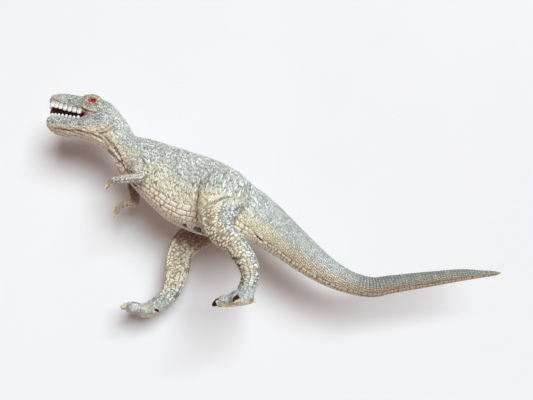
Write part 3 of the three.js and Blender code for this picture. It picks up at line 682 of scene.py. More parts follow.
@dataclass(frozen=True)
class ToothPaint:
    """Hand-painted white teeth with a faint stain and painted shade at their roots, where the lips
    meet them.
    """

    name: str = "tooth_white"
    white: Colour = paint(250, 250, 246)
    # the stain and painted shade at a tooth's root
    stain_and_shade: Colour = paint(198, 196, 180)

    def material(self) -> bpy.types.Material:
        """Fades from stain and painted shade at the root to white."""
        book = Book(self.name)
        spot = book.cloud(book.place(), 900.0)
        share = (book.mask("root") + (spot - 0.5) * 0.5).rise(0.5, 1.2)
        colour = book.blend(share, self.white, self.stain_and_shade)
        normal = book.bump(spot, 0.00012, 0.5)
        return book.surface(
            {"Base Color": colour, "Roughness": 0.28 + spot * 0.14, "Normal": normal}
        )


@dataclass(frozen=True)
class EyePaint:
    """An orange-red eye with a dark pupil under gloss, and a painted glint in the pupil."""

    name: str = "eye_orange"
    iris: Colour = paint(236, 84, 30)
    rim: Colour = paint(196, 44, 22)
    pupil: Colour = paint(24, 28, 46)
    # a painted glint in the pupil
    haze: Colour = paint(120, 132, 150)

    def material(self) -> bpy.types.Material:
        """Paints iris, rim, pupil and the painted glint in it from the mesh's masks."""
        book = Book(self.name)
        spot = book.cloud(book.place(), 1400.0)
        colour = book.blend(book.mask("rim"), self.iris, self.rim)
        colour = book.blend((spot - 0.35).rise(0.0, 0.4) * 0.2, colour, self.rim)
        colour = book.blend(book.mask("pupil"), colour, self.pupil)
        colour = book.blend(book.mask("haze"), colour, self.haze)
        return book.surface(
            {"Base Color": colour, "Roughness": 0.12 + spot * 0.1, "Coat Weight": 0.6}
        )


@dataclass(frozen=True)
class ClawPaint:
    """Claws in cream, with black brushed over those that the photograph shows dark."""

    name: str
    cream: Colour = paint(232, 218, 178)
    tip: Colour = paint(196, 166, 112)
    black: Colour = paint(26, 22, 24)

    def material(self) -> bpy.types.Material:
        """Follows the mesh's ink mask, with the uneven edge of a brush."""
        book = Book(self.name)
        streak = book.cloud(book.place(), 1100.0)
        colour = book.blend(streak.rise(0.4, 0.75), self.cream, self.tip)
        edge = (book.mask("ink") + (streak - 0.5) * 0.45).rise(0.42, 0.58)
        colour = book.blend(edge, colour, self.black)
        normal = book.bump(streak, 0.00012, 0.5)
        return book.surface(
            {"Base Color": colour, "Roughness": 0.3 + streak * 0.2, "Normal": normal}
        )


# Pieces


def placed(
    name: str,
    skin: Skin,
    material: bpy.types.Material,
    body: str,
    stands_for: tuple[str, ...] = (),
) -> bpy.types.Object:
    """Puts a finished skin on the figure.

    Args:
        name: The piece's name.
        skin: Its surface, in millimetres from the hip axis, with its masks.
        material: Its finish.
        body: The body that it rides on.
        stands_for: The castings that it is shown instead of.

    Returns:
        The object.
    """
    skin.face_outward()
    mesh = plain_mesh(name, (skin.points + HIP) * MM, skin.faces)
    for key, values in skin.masks.items():
        layer = mesh.attributes.new(key, "FLOAT", "POINT")
        layer.data.foreach_set("value", values.astype(np.float32))
    mesh.materials.append(material)
    piece = bpy.data.objects.new(name, mesh)
    bpy.context.scene.collection.objects.link(piece)
    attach(piece, body)
    if stands_for:
        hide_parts(*stands_for)
    LOG.info("%s: %d faces on %s", name, len(skin.faces), body)
    return piece


# Lengths in millimetres, as the castings have them.
SEAM_GAP = 0.3
CHEST_REACH, CHEST_RISE = -NECK_SWIVEL.place[0], NECK_SWIVEL.place[2]
RUMP_REACH, RUMP_DROP = TAIL_SWIVEL.place[0], -TAIL_SWIVEL.place[2]
BODY_HEIGHT, BODY_WIDTH = 47.6, 28.2
NECK_SEAM_HEIGHT, NECK_SEAM_WIDTH = 21.6, 18.0
NECK_TOP_HEIGHT, NECK_TOP_WIDTH = 27.0, 20.0
NECK_REACH, NECK_RISE = 13.8, 17.8  # from the neck's seam to its top
TAIL_SEAM_HEIGHT, TAIL_SEAM_WIDTH = 31.6, 24.4
TAIL_LENGTH, TAIL_DROP = 142.1, 47.6  # from the tail's seam to its tip and its lowest place
NECK_SQUARENESS, SEAM_SQUARENESS, LIMB_SQUARENESS = 2.1, 2.3, 2.2

# From the top of the neck to its seam: shares of its reach and rise, and of the way
# from the seam's height and width to the top's.
NECK_SHARES = ((1, 1, 1, 1), (0.58, 0.68, 0.12, 0.3), (0, 0, 0, 0))
# Between the seams: shares of the way back and down, of the body's height and width,
# and the squareness.
BODY_SHARES = (
    (0.122, 0.164, 0.64, 0.83, 2.1),
    (0.36, 0.437, 0.895, 0.985, 2.3),
    (0.504, 0.588, 1, 1, 2.6),
    (0.683, 0.736, 0.985, 1, 2.8),
    (0.859, 0.888, 0.825, 0.96, 2.6),
)
# From the tail's seam to its tip: shares of its length and drop, and of its seam's
# height and width.
TAIL_SHARES = (
    (0, 0, 1, 1),
    (0.084, 0.218, 0.816, 0.83),
    (0.2055, 0.571, 0.633, 0.65),
    (0.2885, 0.7815, 0.513, 0.54),
    (0.371, 0.924, 0.418, 0.45),
    (0.457, 1, 0.368, 0.41),
    (0.54, 0.985, 0.329, 0.375),
    (0.692, 0.962, 0.278, 0.33),
    (0.835, 0.943, 0.215, 0.265),
    (0.916, 0.95, 0.139, 0.17),
    (0.975, 0.956, 0.083, 0.1),
    (1, 0.956, 0.02, 0.026),
)


def body_rows() -> np.ndarray:
    """The sections from the top of the neck, over both seams, to the tip of the tail.

    Returns:
        One row per section: x, z, half height, half width and squareness.
    """
    rows = []
    for reach, rise, high, wide in NECK_SHARES:
        height = NECK_SEAM_HEIGHT + high * (NECK_TOP_HEIGHT - NECK_SEAM_HEIGHT)
        width = NECK_SEAM_WIDTH + wide * (NECK_TOP_WIDTH - NECK_SEAM_WIDTH)
        x, z = -CHEST_REACH - reach * NECK_REACH, CHEST_RISE + rise * NECK_RISE
        rows.append((x, z, height / 2, width / 2, NECK_SQUARENESS))
    for back, down, high, wide, square in BODY_SHARES:
        x = back * (CHEST_REACH + RUMP_REACH) - CHEST_REACH
        z = CHEST_RISE - down * (CHEST_RISE + RUMP_DROP)
        rows.append((x, z, high * BODY_HEIGHT / 2, wide * BODY_WIDTH / 2, square))
    for back, down, high, wide in TAIL_SHARES:
        x, z = RUMP_REACH + back * TAIL_LENGTH, -RUMP_DROP - down * TAIL_DROP
        square = LIMB_SQUARENESS if back else SEAM_SQUARENESS
        rows.append((x, z, high * TAIL_SEAM_HEIGHT / 2, wide * TAIL_SEAM_WIDTH / 2, square))
    return np.array(rows)


BODY_ROWS = body_rows()
NECK_SEAM = len(NECK_SHARES) - 1
TAIL_TIP = len(BODY_ROWS) - 1
TAIL_SEAM = len(BODY_ROWS) - len(TAIL_SHARES)


class BodyLine:
    """The middle line that the neck, body and tail share, with its own coordinates."""

    def __init__(self) -> None:
        """Measures the line once, at a hundred places between each two rows."""
        self.keys = np.arange(len(BODY_ROWS), dtype=float)
        self.fine = np.linspace(0, TAIL_TIP, 100 * TAIL_TIP + 1)
        self.run = run_along(cubic(self.keys, BODY_ROWS, self.fine)[:, :2])

    def arc(self, row: float) -> float:
        """How far along the line a row of the table lies."""
        return float(np.interp(row, self.fine, self.run))

    def sections(self, run: np.ndarray) -> tuple[Points, Points, np.ndarray]:
        """Middles, upward directions and the table's own values at places along the line."""
        rows, ahead, back = (
            cubic(self.keys, BODY_ROWS, np.interp(run + step, self.run, self.fine))
            for step in (0, 0.05, -0.05)
        )
        way = ahead[:, :2] - back[:, :2]
        way /= np.linalg.norm(way, axis=1)[:, None]
        middles = np.stack([rows[:, 0], np.zeros(len(run)), rows[:, 1]], -1)
        up = np.stack([-way[:, 1], np.zeros(len(run)), way[:, 0]], -1)
        return middles, up, rows[:, 2:]

    def rings(self, first: float, last: float, step: float, sides: int) -> Skin:
        """The plain tube between two places on the line, measured along the line."""
        middles, up, sizes = self.sections(np.linspace(first, last, round((last - first) / step)))
        high, wide, square = (sizes[:, i : i + 1] for i in range(3))
        shape = superellipse(sides, square, square)
        rings = middles[:, None] + up[:, None] * (high * shape[..., 1])[..., None]
        rings[..., 1] += wide * shape[..., 0]
        skin = capped_tube(rings)
        self.measure(skin)
        return skin

    def measure(self, skin: Skin) -> None:
        """Adds to a skin how far along, up and around the line its points lie."""
        sample = np.arange(0, self.run[-1], 1.2)
        middles, up, sizes = self.sections(sample)
        flat = skin.points[:, [0, 2]]
        gaps = ((flat[:, None] - middles[None][..., [0, 2]]) ** 2).sum(-1)
        near = gaps.argmin(1)
        along = np.stack([up[near, 2], -up[near, 0]], -1)
        off = flat - middles[near][:, [0, 2]]
        high, wide = sizes[near, 0], sizes[near, 1]
        rise = (off * up[near][:, [0, 2]]).sum(1) / high
        beside = np.minimum(np.abs(skin.points[:, 1]) / wide, 1)
        angle = np.arctan2(skin.points[:, 1] / wide, rise)
        girth = (high + wide) / 2
        skin.masks |= {
            "run": sample[near] + (off * along).sum(1),
            "rise": rise / np.maximum(np.hypot(rise, beside), 1e-6),
            "around": angle * girth,
            "under": (math.pi - np.abs(angle)) * girth,
            "girth": girth,
        }


LINE = BodyLine()
TAIL_START = LINE.arc(TAIL_SEAM)

# Where the belly's plates begin: how far along the line, and degrees round from the top.
BAND_EDGE = np.array(
    [
        (0, 118),
        (14, 114),
        (24, 120),
        (38, 130),
        (49, 131),
        (55, 127),
        (64, 124.5),
        (71, 123),
        (79, 121.5),
        (86, 118),
        (92, 115),
        (112, 112),
        (124, 124),
        (140, 134),
        (170, 136),
        (200, 132),
        (230, 126),
        (262, 122),
    ]
)

THROAT_FOLDS = (
    Fold([(-64.0, 26.5), (-67.0, 34.8), (-71.0, 41.4), (-76.3, 47.5)], 0.8, 0.9, 1.0),
    Fold([(-60.4, 20.7), (-64.6, 26.0), (-69.9, 33.4), (-75.2, 39.4)], 0.8, 0.8, 1.0),
)
SHOULDER_FOLD = Fold([(-52.0, 31.5), (-49.4, 26.0), (-47.6, 21.0), (-48.0, 16.0)], 0.8, 0.7, 0.7)
GROIN_FOLD = Fold([(-14.8, -12.0), (-15.4, -18.6), (-14.6, -22.5)], 0.8, 0.8, 0.8)
RUMP_FOLDS = (
    Fold([(21.1, -20.5), (23.1, -17.0), (26.3, -14.2), (29.8, -12.8)], 0.6, 0.5, 0.3),
    Fold([(5.9, -14.9), (7.0, -16.7), (8.1, -18.0)], 0.5, 0.5, 0.6),
)
# Dark blots by the groin and under the arm: x, y, z and radius.
BLOTS = (
    (-26.0, -6.1, -15.7, 1.3),
    (-13.4, -9.6, -18.4, 1.6),
    (-18.2, -5.7, -18.9, 2.6),
    (-16.5, -2.7, -22.3, 1.6),
    (-21.6, -3.2, -20.0, 1.4),
    (-57.5, -5.6, 13.7, 1.4),
    (-55.0, -8.6, 14.6, 1.0),
)


class Hide:
    """The moulded relief and the paint that run from the neck over the body to the tail."""

    @staticmethod
    def scales(run: np.ndarray, around: np.ndarray) -> np.ndarray:
        """Scales that are long across the body and round on the tail: tops and chances."""
        bend = 0.5 * noise(np.stack([run / 2.1, around / 2.6], -1), 19)
        body = pebbles(np.stack([run + bend, around * 0.42 + run * 0.08 - bend], -1), 3)
        tail = pebbles(np.stack([run * 0.92, around * 0.84], -1), 4)
        return mix(body, tail, smooth(TAIL_START - 8, TAIL_START + 12, run))

    @staticmethod
    def spray(run: np.ndarray, rise: np.ndarray) -> np.ndarray:
        """How far the grey spray covers the cream, from the back down the flank."""
        flank = 0.12 + 0.88 * smooth(-0.75, 0.7, rise)
        tail = smooth(-0.45, 0.35, rise)
        return mix(flank, tail, smooth(TAIL_START - 12, TAIL_START + 16, run))

    @staticmethod
    def plates(run: np.ndarray, down: np.ndarray) -> tuple[np.ndarray, np.ndarray]:
        """Rows of soft plates below the band's edge, which end in narrow ticks.

        Args:
            run: How far along the line each point lies.
            down: How far below the band's edge it lies.

        Returns:
            0 between the plates and 1 on their tops, and each plate's own chance.
        """
        tail = smooth(TAIL_START - 6, TAIL_START + 10, run)
        found = []
        for tall, long, rows, short in ((2.75, 3.9, 3, 1.9), (2.6, 2.5, 1, 2.3)):
            row = np.floor(down / tall)
            along = run / np.where(row < rows, long, short) + 0.5 * (row % 2)
            along = along + 0.2 * np.sin(run * 0.7 + row * 2.1)
            beside = np.where(row < rows, off_middle(down / tall), 0.3)
            top = (1 - smooth(0.58, 1.0, beside)) * (1 - smooth(0.55, 0.98, off_middle(along)))
            own = lattice(np.stack([np.floor(along), row], -1), 7)
            found.append((top, own))
        (body, own), (end, end_own) = found
        return mix(body, end, tail), np.where(tail > 0.5, end_own, own)

    @staticmethod
    def folds(places: Points) -> tuple[np.ndarray, np.ndarray]:
        """How deep the side's folds cut in at each place, and how dark they are painted, partly a
        stain and partly painted shade.
        """
        folds = (SHOULDER_FOLD, *THROAT_FOLDS, GROIN_FOLD, *RUMP_FOLDS)
        cuts = [groove(fold.path, places, fold.width) for fold in folds]
        side = smooth(2, 5, np.abs(places[:, 1]))
        depth = sum(fold.depth * cut for fold, cut in zip(folds, cuts))
        stain_and_shade = strongest([fold.stain_and_shade * cut for fold, cut in zip(folds, cuts)])
        return depth * side, stain_and_shade * side

    @staticmethod
    def blots(places: Points, ragged: np.ndarray) -> np.ndarray:
        """The dark blots of paint, with ragged edges."""
        return sum(
            smooth(1.3, 1.0, np.linalg.norm(places - middle, axis=1) / radius + 0.3 * ragged)
            for *middle, radius in BLOTS
        )

    def dress(self, skin: Skin) -> None:
        """Shapes the relief of a measured skin and lays its paint masks.

        Args:
            skin: A skin with the line's run, rise, around and girth masks.
        """
        run, rise, around, girth = (skin.masks[k] for k in ("run", "rise", "around", "girth"))
        places = skin.points
        top, chance = self.scales(run, around)
        down = np.abs(around) - np.radians(np.interp(run, *BAND_EDGE.T)) * girth
        below = smooth(-0.4, 0.4, down)
        bent = 0.8 * noise(places / 3.1, 15)
        plates, own = self.plates(run + bent, np.maximum(down + 0.6 * noise(places / 2.7, 17), 0))
        tail = smooth(TAIL_START, TAIL_START + 40, run)
        slim = np.clip(girth / 12, 0.3, 1)
        drift = np.stack([run / 3.4, around / 11], -1) + 0.5 * noise(places / 9, 5)[:, None]
        ridges = 1 - smooth(0.0, 0.35, np.abs(noise(drift, 8)))
        swell = noise(places / 8.5, 11)
        rings = self.tail_rings(run, rise)
        upper = (0.3 * top - 0.16 - 0.16 * ridges * slim + 0.2 * swell * slim) * (1 - 0.35 * tail)
        height = mix(upper, slim * (0.65 * plates - 0.4), below)
        depth, cuts = self.folds(places)
        skin.push(height + rings * 0.34 * slim - depth)
        hollow = smooth(0.5, 0.05, plates) * below
        deep = smooth(2, 11, down) * (1 - tail)
        ragged = swell + 1.2 * noise(places / 1.9, 29)
        reticule = smooth(0.25, -0.35, rise) * tail * (1 - below)
        far = smooth(TAIL_START + 48, TAIL_START + 90, run)
        onward = smooth(TAIL_START - 25, TAIL_START + 25, run)
        throat = smooth(26, 14, run) * smooth(-0.2, -0.55, rise)
        skin.masks = {
            "top": mix(top, 0.65 + 0.35 * plates, below) * (1 - 0.3 * onward),
            "chance": mix(chance, 0.7 + 0.3 * own - 0.2 * onward, below),
            # dark paint in hollows, folds and between the tail's rings, partly a wash and partly
            # painted shade, and darker towards the tail's end
            "dip": unit(
                (0.7 + 0.25 * onward) * hollow
                + 0.6 * cuts
                + 0.75 * reticule * (1 - top)
                + 0.6 * unit(-rings)
                + 0.6 * far
                + 0.3 * throat * (1 - top)
            ),
            "spray": unit(self.spray(run, rise + 0.1 * swell) * (1 - below) + 0.2 * tail)
            * (1 - 0.8 * below),
            "wash": unit(
                below * (0.3 - 0.3 * plates + 0.36 * deep + 0.5 * tail + 0.2 * swell)
                + 0.35 * cuts
                + 0.2 * reticule
                + 0.3 * throat
            ),
            "ink": unit(0.9 * self.blots(places, ragged)),
            "gold": 0.5 * smooth(LINE.run[-1] - 7, LINE.run[-1] - 2, run)
            + 0.5 * tail * smooth(2.0, 0.8, skin.masks["under"]),
        }

    @staticmethod
    def tail_rings(run: np.ndarray, rise: np.ndarray) -> np.ndarray:
        """Raised rings round the tail's end, from -1 to 1, closer together at the tip."""
        reach = np.maximum(run - TAIL_START - 66, 0)
        waves = reach / 2.15 + reach**2 * 0.0011 + 0.12 * rise
        return np.cos(2 * math.pi * waves) * smooth(0, 14, reach) * smooth(-0.75, -0.3, rise)


HAUNCH_RADIUS = 15.6
SHOULDER_RADIUS = 5.3


@dataclass(frozen=True)
class Seat:
    """A round seat in the body, where a limb's disc turns."""

    x: float
    z: float
    side: int
    face: float  # from the middle plane out to the flat of the seat
    recess: float  # the radius of the seat
    swell: float  # how far the flesh rises round the seat
    reach: float
    crest: float  # how much more it rises in a narrow rim above the seat
    low_back: float  # degrees that the swell reaches further down behind the seat
    stain_and_shade: float  # painted shade, with a brown wash, in the front of the seat's edge

    @classmethod
    def at(cls, joint: str, radius: float, **flesh: float) -> Seat:
        """The seat for a limb of a given radius, where the record has its joint."""
        x, y, z = Swivel.named(joint).place
        side = -1 if y < 0 else 1
        return cls(x, z, side, abs(y), radius + SEAM_GAP, **flesh)

    def away(self, places: Points) -> np.ndarray:
        """The distance from the seat's axis."""
        return np.hypot(places[:, 0] - self.x, places[:, 2] - self.z)

    def raise_flesh(self, skin: Skin) -> None:
        """Swells the body's skin towards the seat, most above it."""
        places = skin.points
        away = self.away(places)
        out = smooth(0.25 * self.face, 0.6 * self.face, places[:, 1] * self.side)
        upward = np.degrees(np.arctan2(np.abs(places[:, 0] - self.x), places[:, 2] - self.z))
        behind = smooth(0, 4, places[:, 0] - self.x)
        wide = self.swell * smooth(self.recess + self.reach, self.recess, away)
        narrow = self.crest * smooth(self.recess + 5, self.recess, away)
        upward = upward - self.low_back * behind
        rise = (wide * smooth(150, 80, upward) + narrow * smooth(75, 25, upward)) * out
        places[:, 1] += self.side * rise

    def sink(self, skin: Skin) -> None:
        """Cuts the seat with a clean rim and paints shade, with a brown wash, into its front edge.
        """
        places, away = skin.points, self.away(skin.points)
        out = places[:, 1] * self.side > 0.55 * self.face
        rim = out & (away > self.recess - 0.25) & (away < self.recess + 0.5)
        wall = out & (away <= self.recess - 0.25) & (away > self.recess - 0.9)
        for ring, radius in ((rim, self.recess), (wall, self.recess - 0.1)):
            scale = radius / np.maximum(away[ring], 1e-6)
            places[ring, 0] = self.x + (places[ring, 0] - self.x) * scale
            places[ring, 2] = self.z + (places[ring, 2] - self.z) * scale
        sunk = out & (away <= self.recess - 0.25)
        places[sunk, 1] = self.side * self.face
        # painted shade, with a brown wash, along the front of the seat's edge
        crease = self.crease(places)
        skin.masks["dip"] = np.maximum(skin.masks["dip"], self.stain_and_shade * crease)
        skin.masks["wash"] = np.maximum(skin.masks["wash"], 0.6 * self.stain_and_shade * crease)

    def crease(self, places: Points) -> np.ndarray:
        """1 along the front half of the seat's edge, and almost 0 two millimetres off."""
        edge = bell(self.away(places), self.recess, 0.8)
        angle = np.degrees(np.arctan2(places[:, 2] - self.z, self.x - places[:, 0]))
        return edge * smooth(62, 30, np.abs(angle + 14)) * (places[:, 1] * self.side > 2)


HIP_FLESH = {"swell": 1.3, "reach": 13.0, "crest": 1.3, "low_back": 50.0, "stain_and_shade": 0.6}
SHOULDER_FLESH = {"swell": 0.3, "reach": 4.0, "crest": 0.0, "low_back": 0.0, "stain_and_shade": 0.2}
LEFT_HIP, RIGHT_HIP = (
    Seat.at(joint, HAUNCH_RADIUS, **HIP_FLESH) for joint in ("left_hip", "right_hip")
)
LEFT_SHOULDER, RIGHT_SHOULDER = (
    Seat.at(joint, SHOULDER_RADIUS, **SHOULDER_FLESH)
    for joint in ("left_shoulder", "right_shoulder")
)


@dataclass
class Torso:
    """The body casting, with its haunch pads, shoulder seats and two seams."""

    hide: Hide
    step: float = 0.36
    sides: int = 340

    def pad(self) -> Skin:
        """The right shoulder's pad, which stands out below the chest."""
        out = np.array([0.5, 2.0, 4.0, 6.0, 8.0, 9.4, 10.0, RIGHT_SHOULDER.face])
        radius = np.array([5.3, 5.9, 6.0, 5.9, 5.8, 5.65, 5.5, 5.2])
        rows = range(len(out))
        steps = np.linspace(0, rows[-1], 40)
        out, radius = (np.interp(steps, rows, values) for values in (out, radius))
        skin = turned(RIGHT_SHOULDER.x, RIGHT_SHOULDER.z, radius, out, 90)
        LINE.measure(skin)
        self.hide.dress(skin)
        skin.points[:, 1] = np.minimum(skin.points[:, 1], RIGHT_SHOULDER.face)
        return skin

    def build(self) -> list[bpy.types.Object]:
        """Shapes, paints and places the body."""
        skin = LINE.rings(LINE.arc(NECK_SEAM), TAIL_START, self.step, self.sides)
        self.hide.dress(skin)
        seats = (LEFT_HIP, RIGHT_HIP, LEFT_SHOULDER, RIGHT_SHOULDER)
        for seat in seats:
            seat.raise_flesh(skin)
        for seat in seats:
            seat.sink(skin)
        finish = SprayedVinyl("sprayed_body").material()
        return [
            placed("body_skin", skin, finish, "torso", ("body_shell",)),
            placed("right_shoulder_pad", self.pad(), finish, "torso"),
        ]


@dataclass
class Tail:
    """The tail casting: plates below, pebbles above, rings round its end, and a vent slit."""

    hide: Hide
    step: float = 0.4
    sides: int = 170
    slit: Path = ((16.2, -25.6), (18.4, -27.6), (20.2, -29.6))

    def build(self) -> bpy.types.Object:
        """Shapes, paints and places the tail."""
        skin = LINE.rings(TAIL_START + SEAM_GAP, LINE.arc(TAIL_TIP), self.step, self.sides)
        self.hide.dress(skin)
        left = skin.points[:, 1] < 0
        away = away_from(self.slit, skin.points[:, [0, 2]])
        skin.push((0.4 * smooth(1.9, 1.0, away) - 1.5 * smooth(0.6, 0.2, away)) * left)
        skin.masks["ink"] = np.maximum(skin.masks["ink"], 0.75 * smooth(0.5, 0.2, away) * left)
        finish = SprayedVinyl("sprayed_tail")
        return placed("tail_skin", skin, finish.material(), "tail", ("tail",))


# Head

HEAD_LENGTH, HEAD_HEIGHT, HEAD_WIDTH = 41.0, 31.0, 20.8
JAW_SIZES = np.array([HEAD_LENGTH, HEAD_HEIGHT, HEAD_HEIGHT, HEAD_WIDTH])
# Shares of the head's length, for how far forward, of its height, for the upper and the
# lower edge, and of its width, for half the width.
UPPER_JAW = JAW_SIZES * np.array(
    [
        (-0.2, 0.3, -0.2, 0.34),
        (-0.06, 0.465, -0.22, 0.45),
        (0.06, 0.535, -0.2, 0.49),
        (0.19, 0.565, -0.02, 0.5),
        (0.27, 0.56, 0.09, 0.475),
        (0.42, 0.555, 0.155, 0.415),
        (0.6, 0.555, 0.195, 0.37),
        (0.8, 0.55, 0.25, 0.345),
        (0.93, 0.49, 0.278, 0.285),
        (0.99, 0.4, 0.31, 0.15),
    ]
)
LOWER_JAW = JAW_SIZES * np.array(
    [
        (-0.2, 0.1, -0.36, 0.3),
        (-0.05, 0.1, -0.43, 0.42),
        (0.13, 0.12, -0.425, 0.46),
        (0.27, 0.08, -0.4, 0.44),
        (0.36, -0.012, -0.39, 0.415),
        (0.6, -0.02, -0.38, 0.36),
        (0.79, -0.024, -0.345, 0.315),
        (0.88, -0.034, -0.285, 0.25),
        (0.925, -0.07, -0.215, 0.15),
    ]
)
HEAD_TILT = math.radians(14)
HEAD_ORIGIN = np.array([BODY_ROWS[0, 0], 0.0, BODY_ROWS[0, 1]])
FORWARD = np.array([-math.cos(HEAD_TILT), 0.0, math.sin(HEAD_TILT)])
UPWARD = np.array([math.sin(HEAD_TILT), 0.0, math.cos(HEAD_TILT)])


def on_head(forward: np.ndarray, across: np.ndarray, up: np.ndarray) -> Points:
    """Turns the head's own coordinates into places on the figure."""
    forward, across, up = np.broadcast_arrays(forward, across, up)
    places = HEAD_ORIGIN + forward[..., None] * FORWARD + up[..., None] * UPWARD
    places[..., 1] += across
    return places


def off_head(places: Points) -> tuple[np.ndarray, np.ndarray, np.ndarray]:
    """How far forward, up and out to either side places lie, in the head's coordinates."""
    off = places - HEAD_ORIGIN
    return off @ FORWARD, off @ UPWARD, np.abs(off[:, 1])


def read_jaw(jaw: np.ndarray, forward: np.ndarray) -> np.ndarray:
    """Upper edge, lower edge and half width of a jaw, for places along it."""
    return cubic(jaw[:, 0], jaw[:, 1:], forward)


class JawRow(Enum):
    """The two rows of teeth, by which way they point."""

    UPPER = -1
    LOWER = 1


@dataclass
class Teeth:
    """One row of moulded teeth on both sides of a jaw."""

    row: JawRow
    jaw: np.ndarray
    count: int  # on each side
    front: float  # how far forward the first one stands
    back: float  # and the last one
    height: float  # of the first one
    last_share: float  # of that height, for the last one
    half: float  # half the width of a tooth
    girths: tuple[float, ...]  # from inside the jaw to the tip, as shares of the half width
    inset: float = 1.35  # in from the jaw's side
    middle_gap: float = 1.5  # from the middle plane to the front pair
    sides: int = 20

    def places(self) -> list[tuple[float, float, float, float]]:
        """Forward, across, lip height and length of each tooth on the positive side."""
        found = []
        for i in range(self.count):
            share = i / (self.count - 1)
            forward = self.front - (self.front - self.back) * share**1.12
            top, bottom, half = read_jaw(self.jaw, np.array([forward]))[0]
            lip = bottom if self.row is JawRow.UPPER else top
            across = self.middle_gap if i == 0 else half - self.inset
            found.append((forward, across, lip, self.height * (1 + (self.last_share - 1) * share)))
        return found

    def build(self, name: str, material: bpy.types.Material) -> bpy.types.Object:
        """Shapes each tooth as a rounded block that narrows to its tip."""
        skins = [
            self.tooth(forward, side * across, lip, length)
            for forward, across, lip, length in self.places()
            for side in (-1, 1)
        ]
        return placed(name, merged(skins), material, "head")

    def tooth(self, forward: float, across: float, lip: float, length: float) -> Skin:
        """One tooth, from inside its jaw to its tip."""
        share = np.array([-0.55, -0.25, 0.0, 0.3, 0.6, 0.8, 0.92, 1.0])
        girth = np.array(self.girths) * self.half
        up = lip + self.row.value * share * length
        shape = superellipse(self.sides, 3.2, 3.2)
        rings = on_head(
            forward + girth[:, None] * shape[:, 0],
            across + 0.75 * girth[:, None] * shape[:, 1],
            up[:, None],
        )
        skin = capped_tube(rings)
        tall = np.concatenate([np.repeat(share, self.sides), [share[0], share[-1]]])
        # root: where the stain and painted shade of the tooth's root lie
        skin.masks["root"] = 1 - np.clip(tall, 0, 1)
        return skin


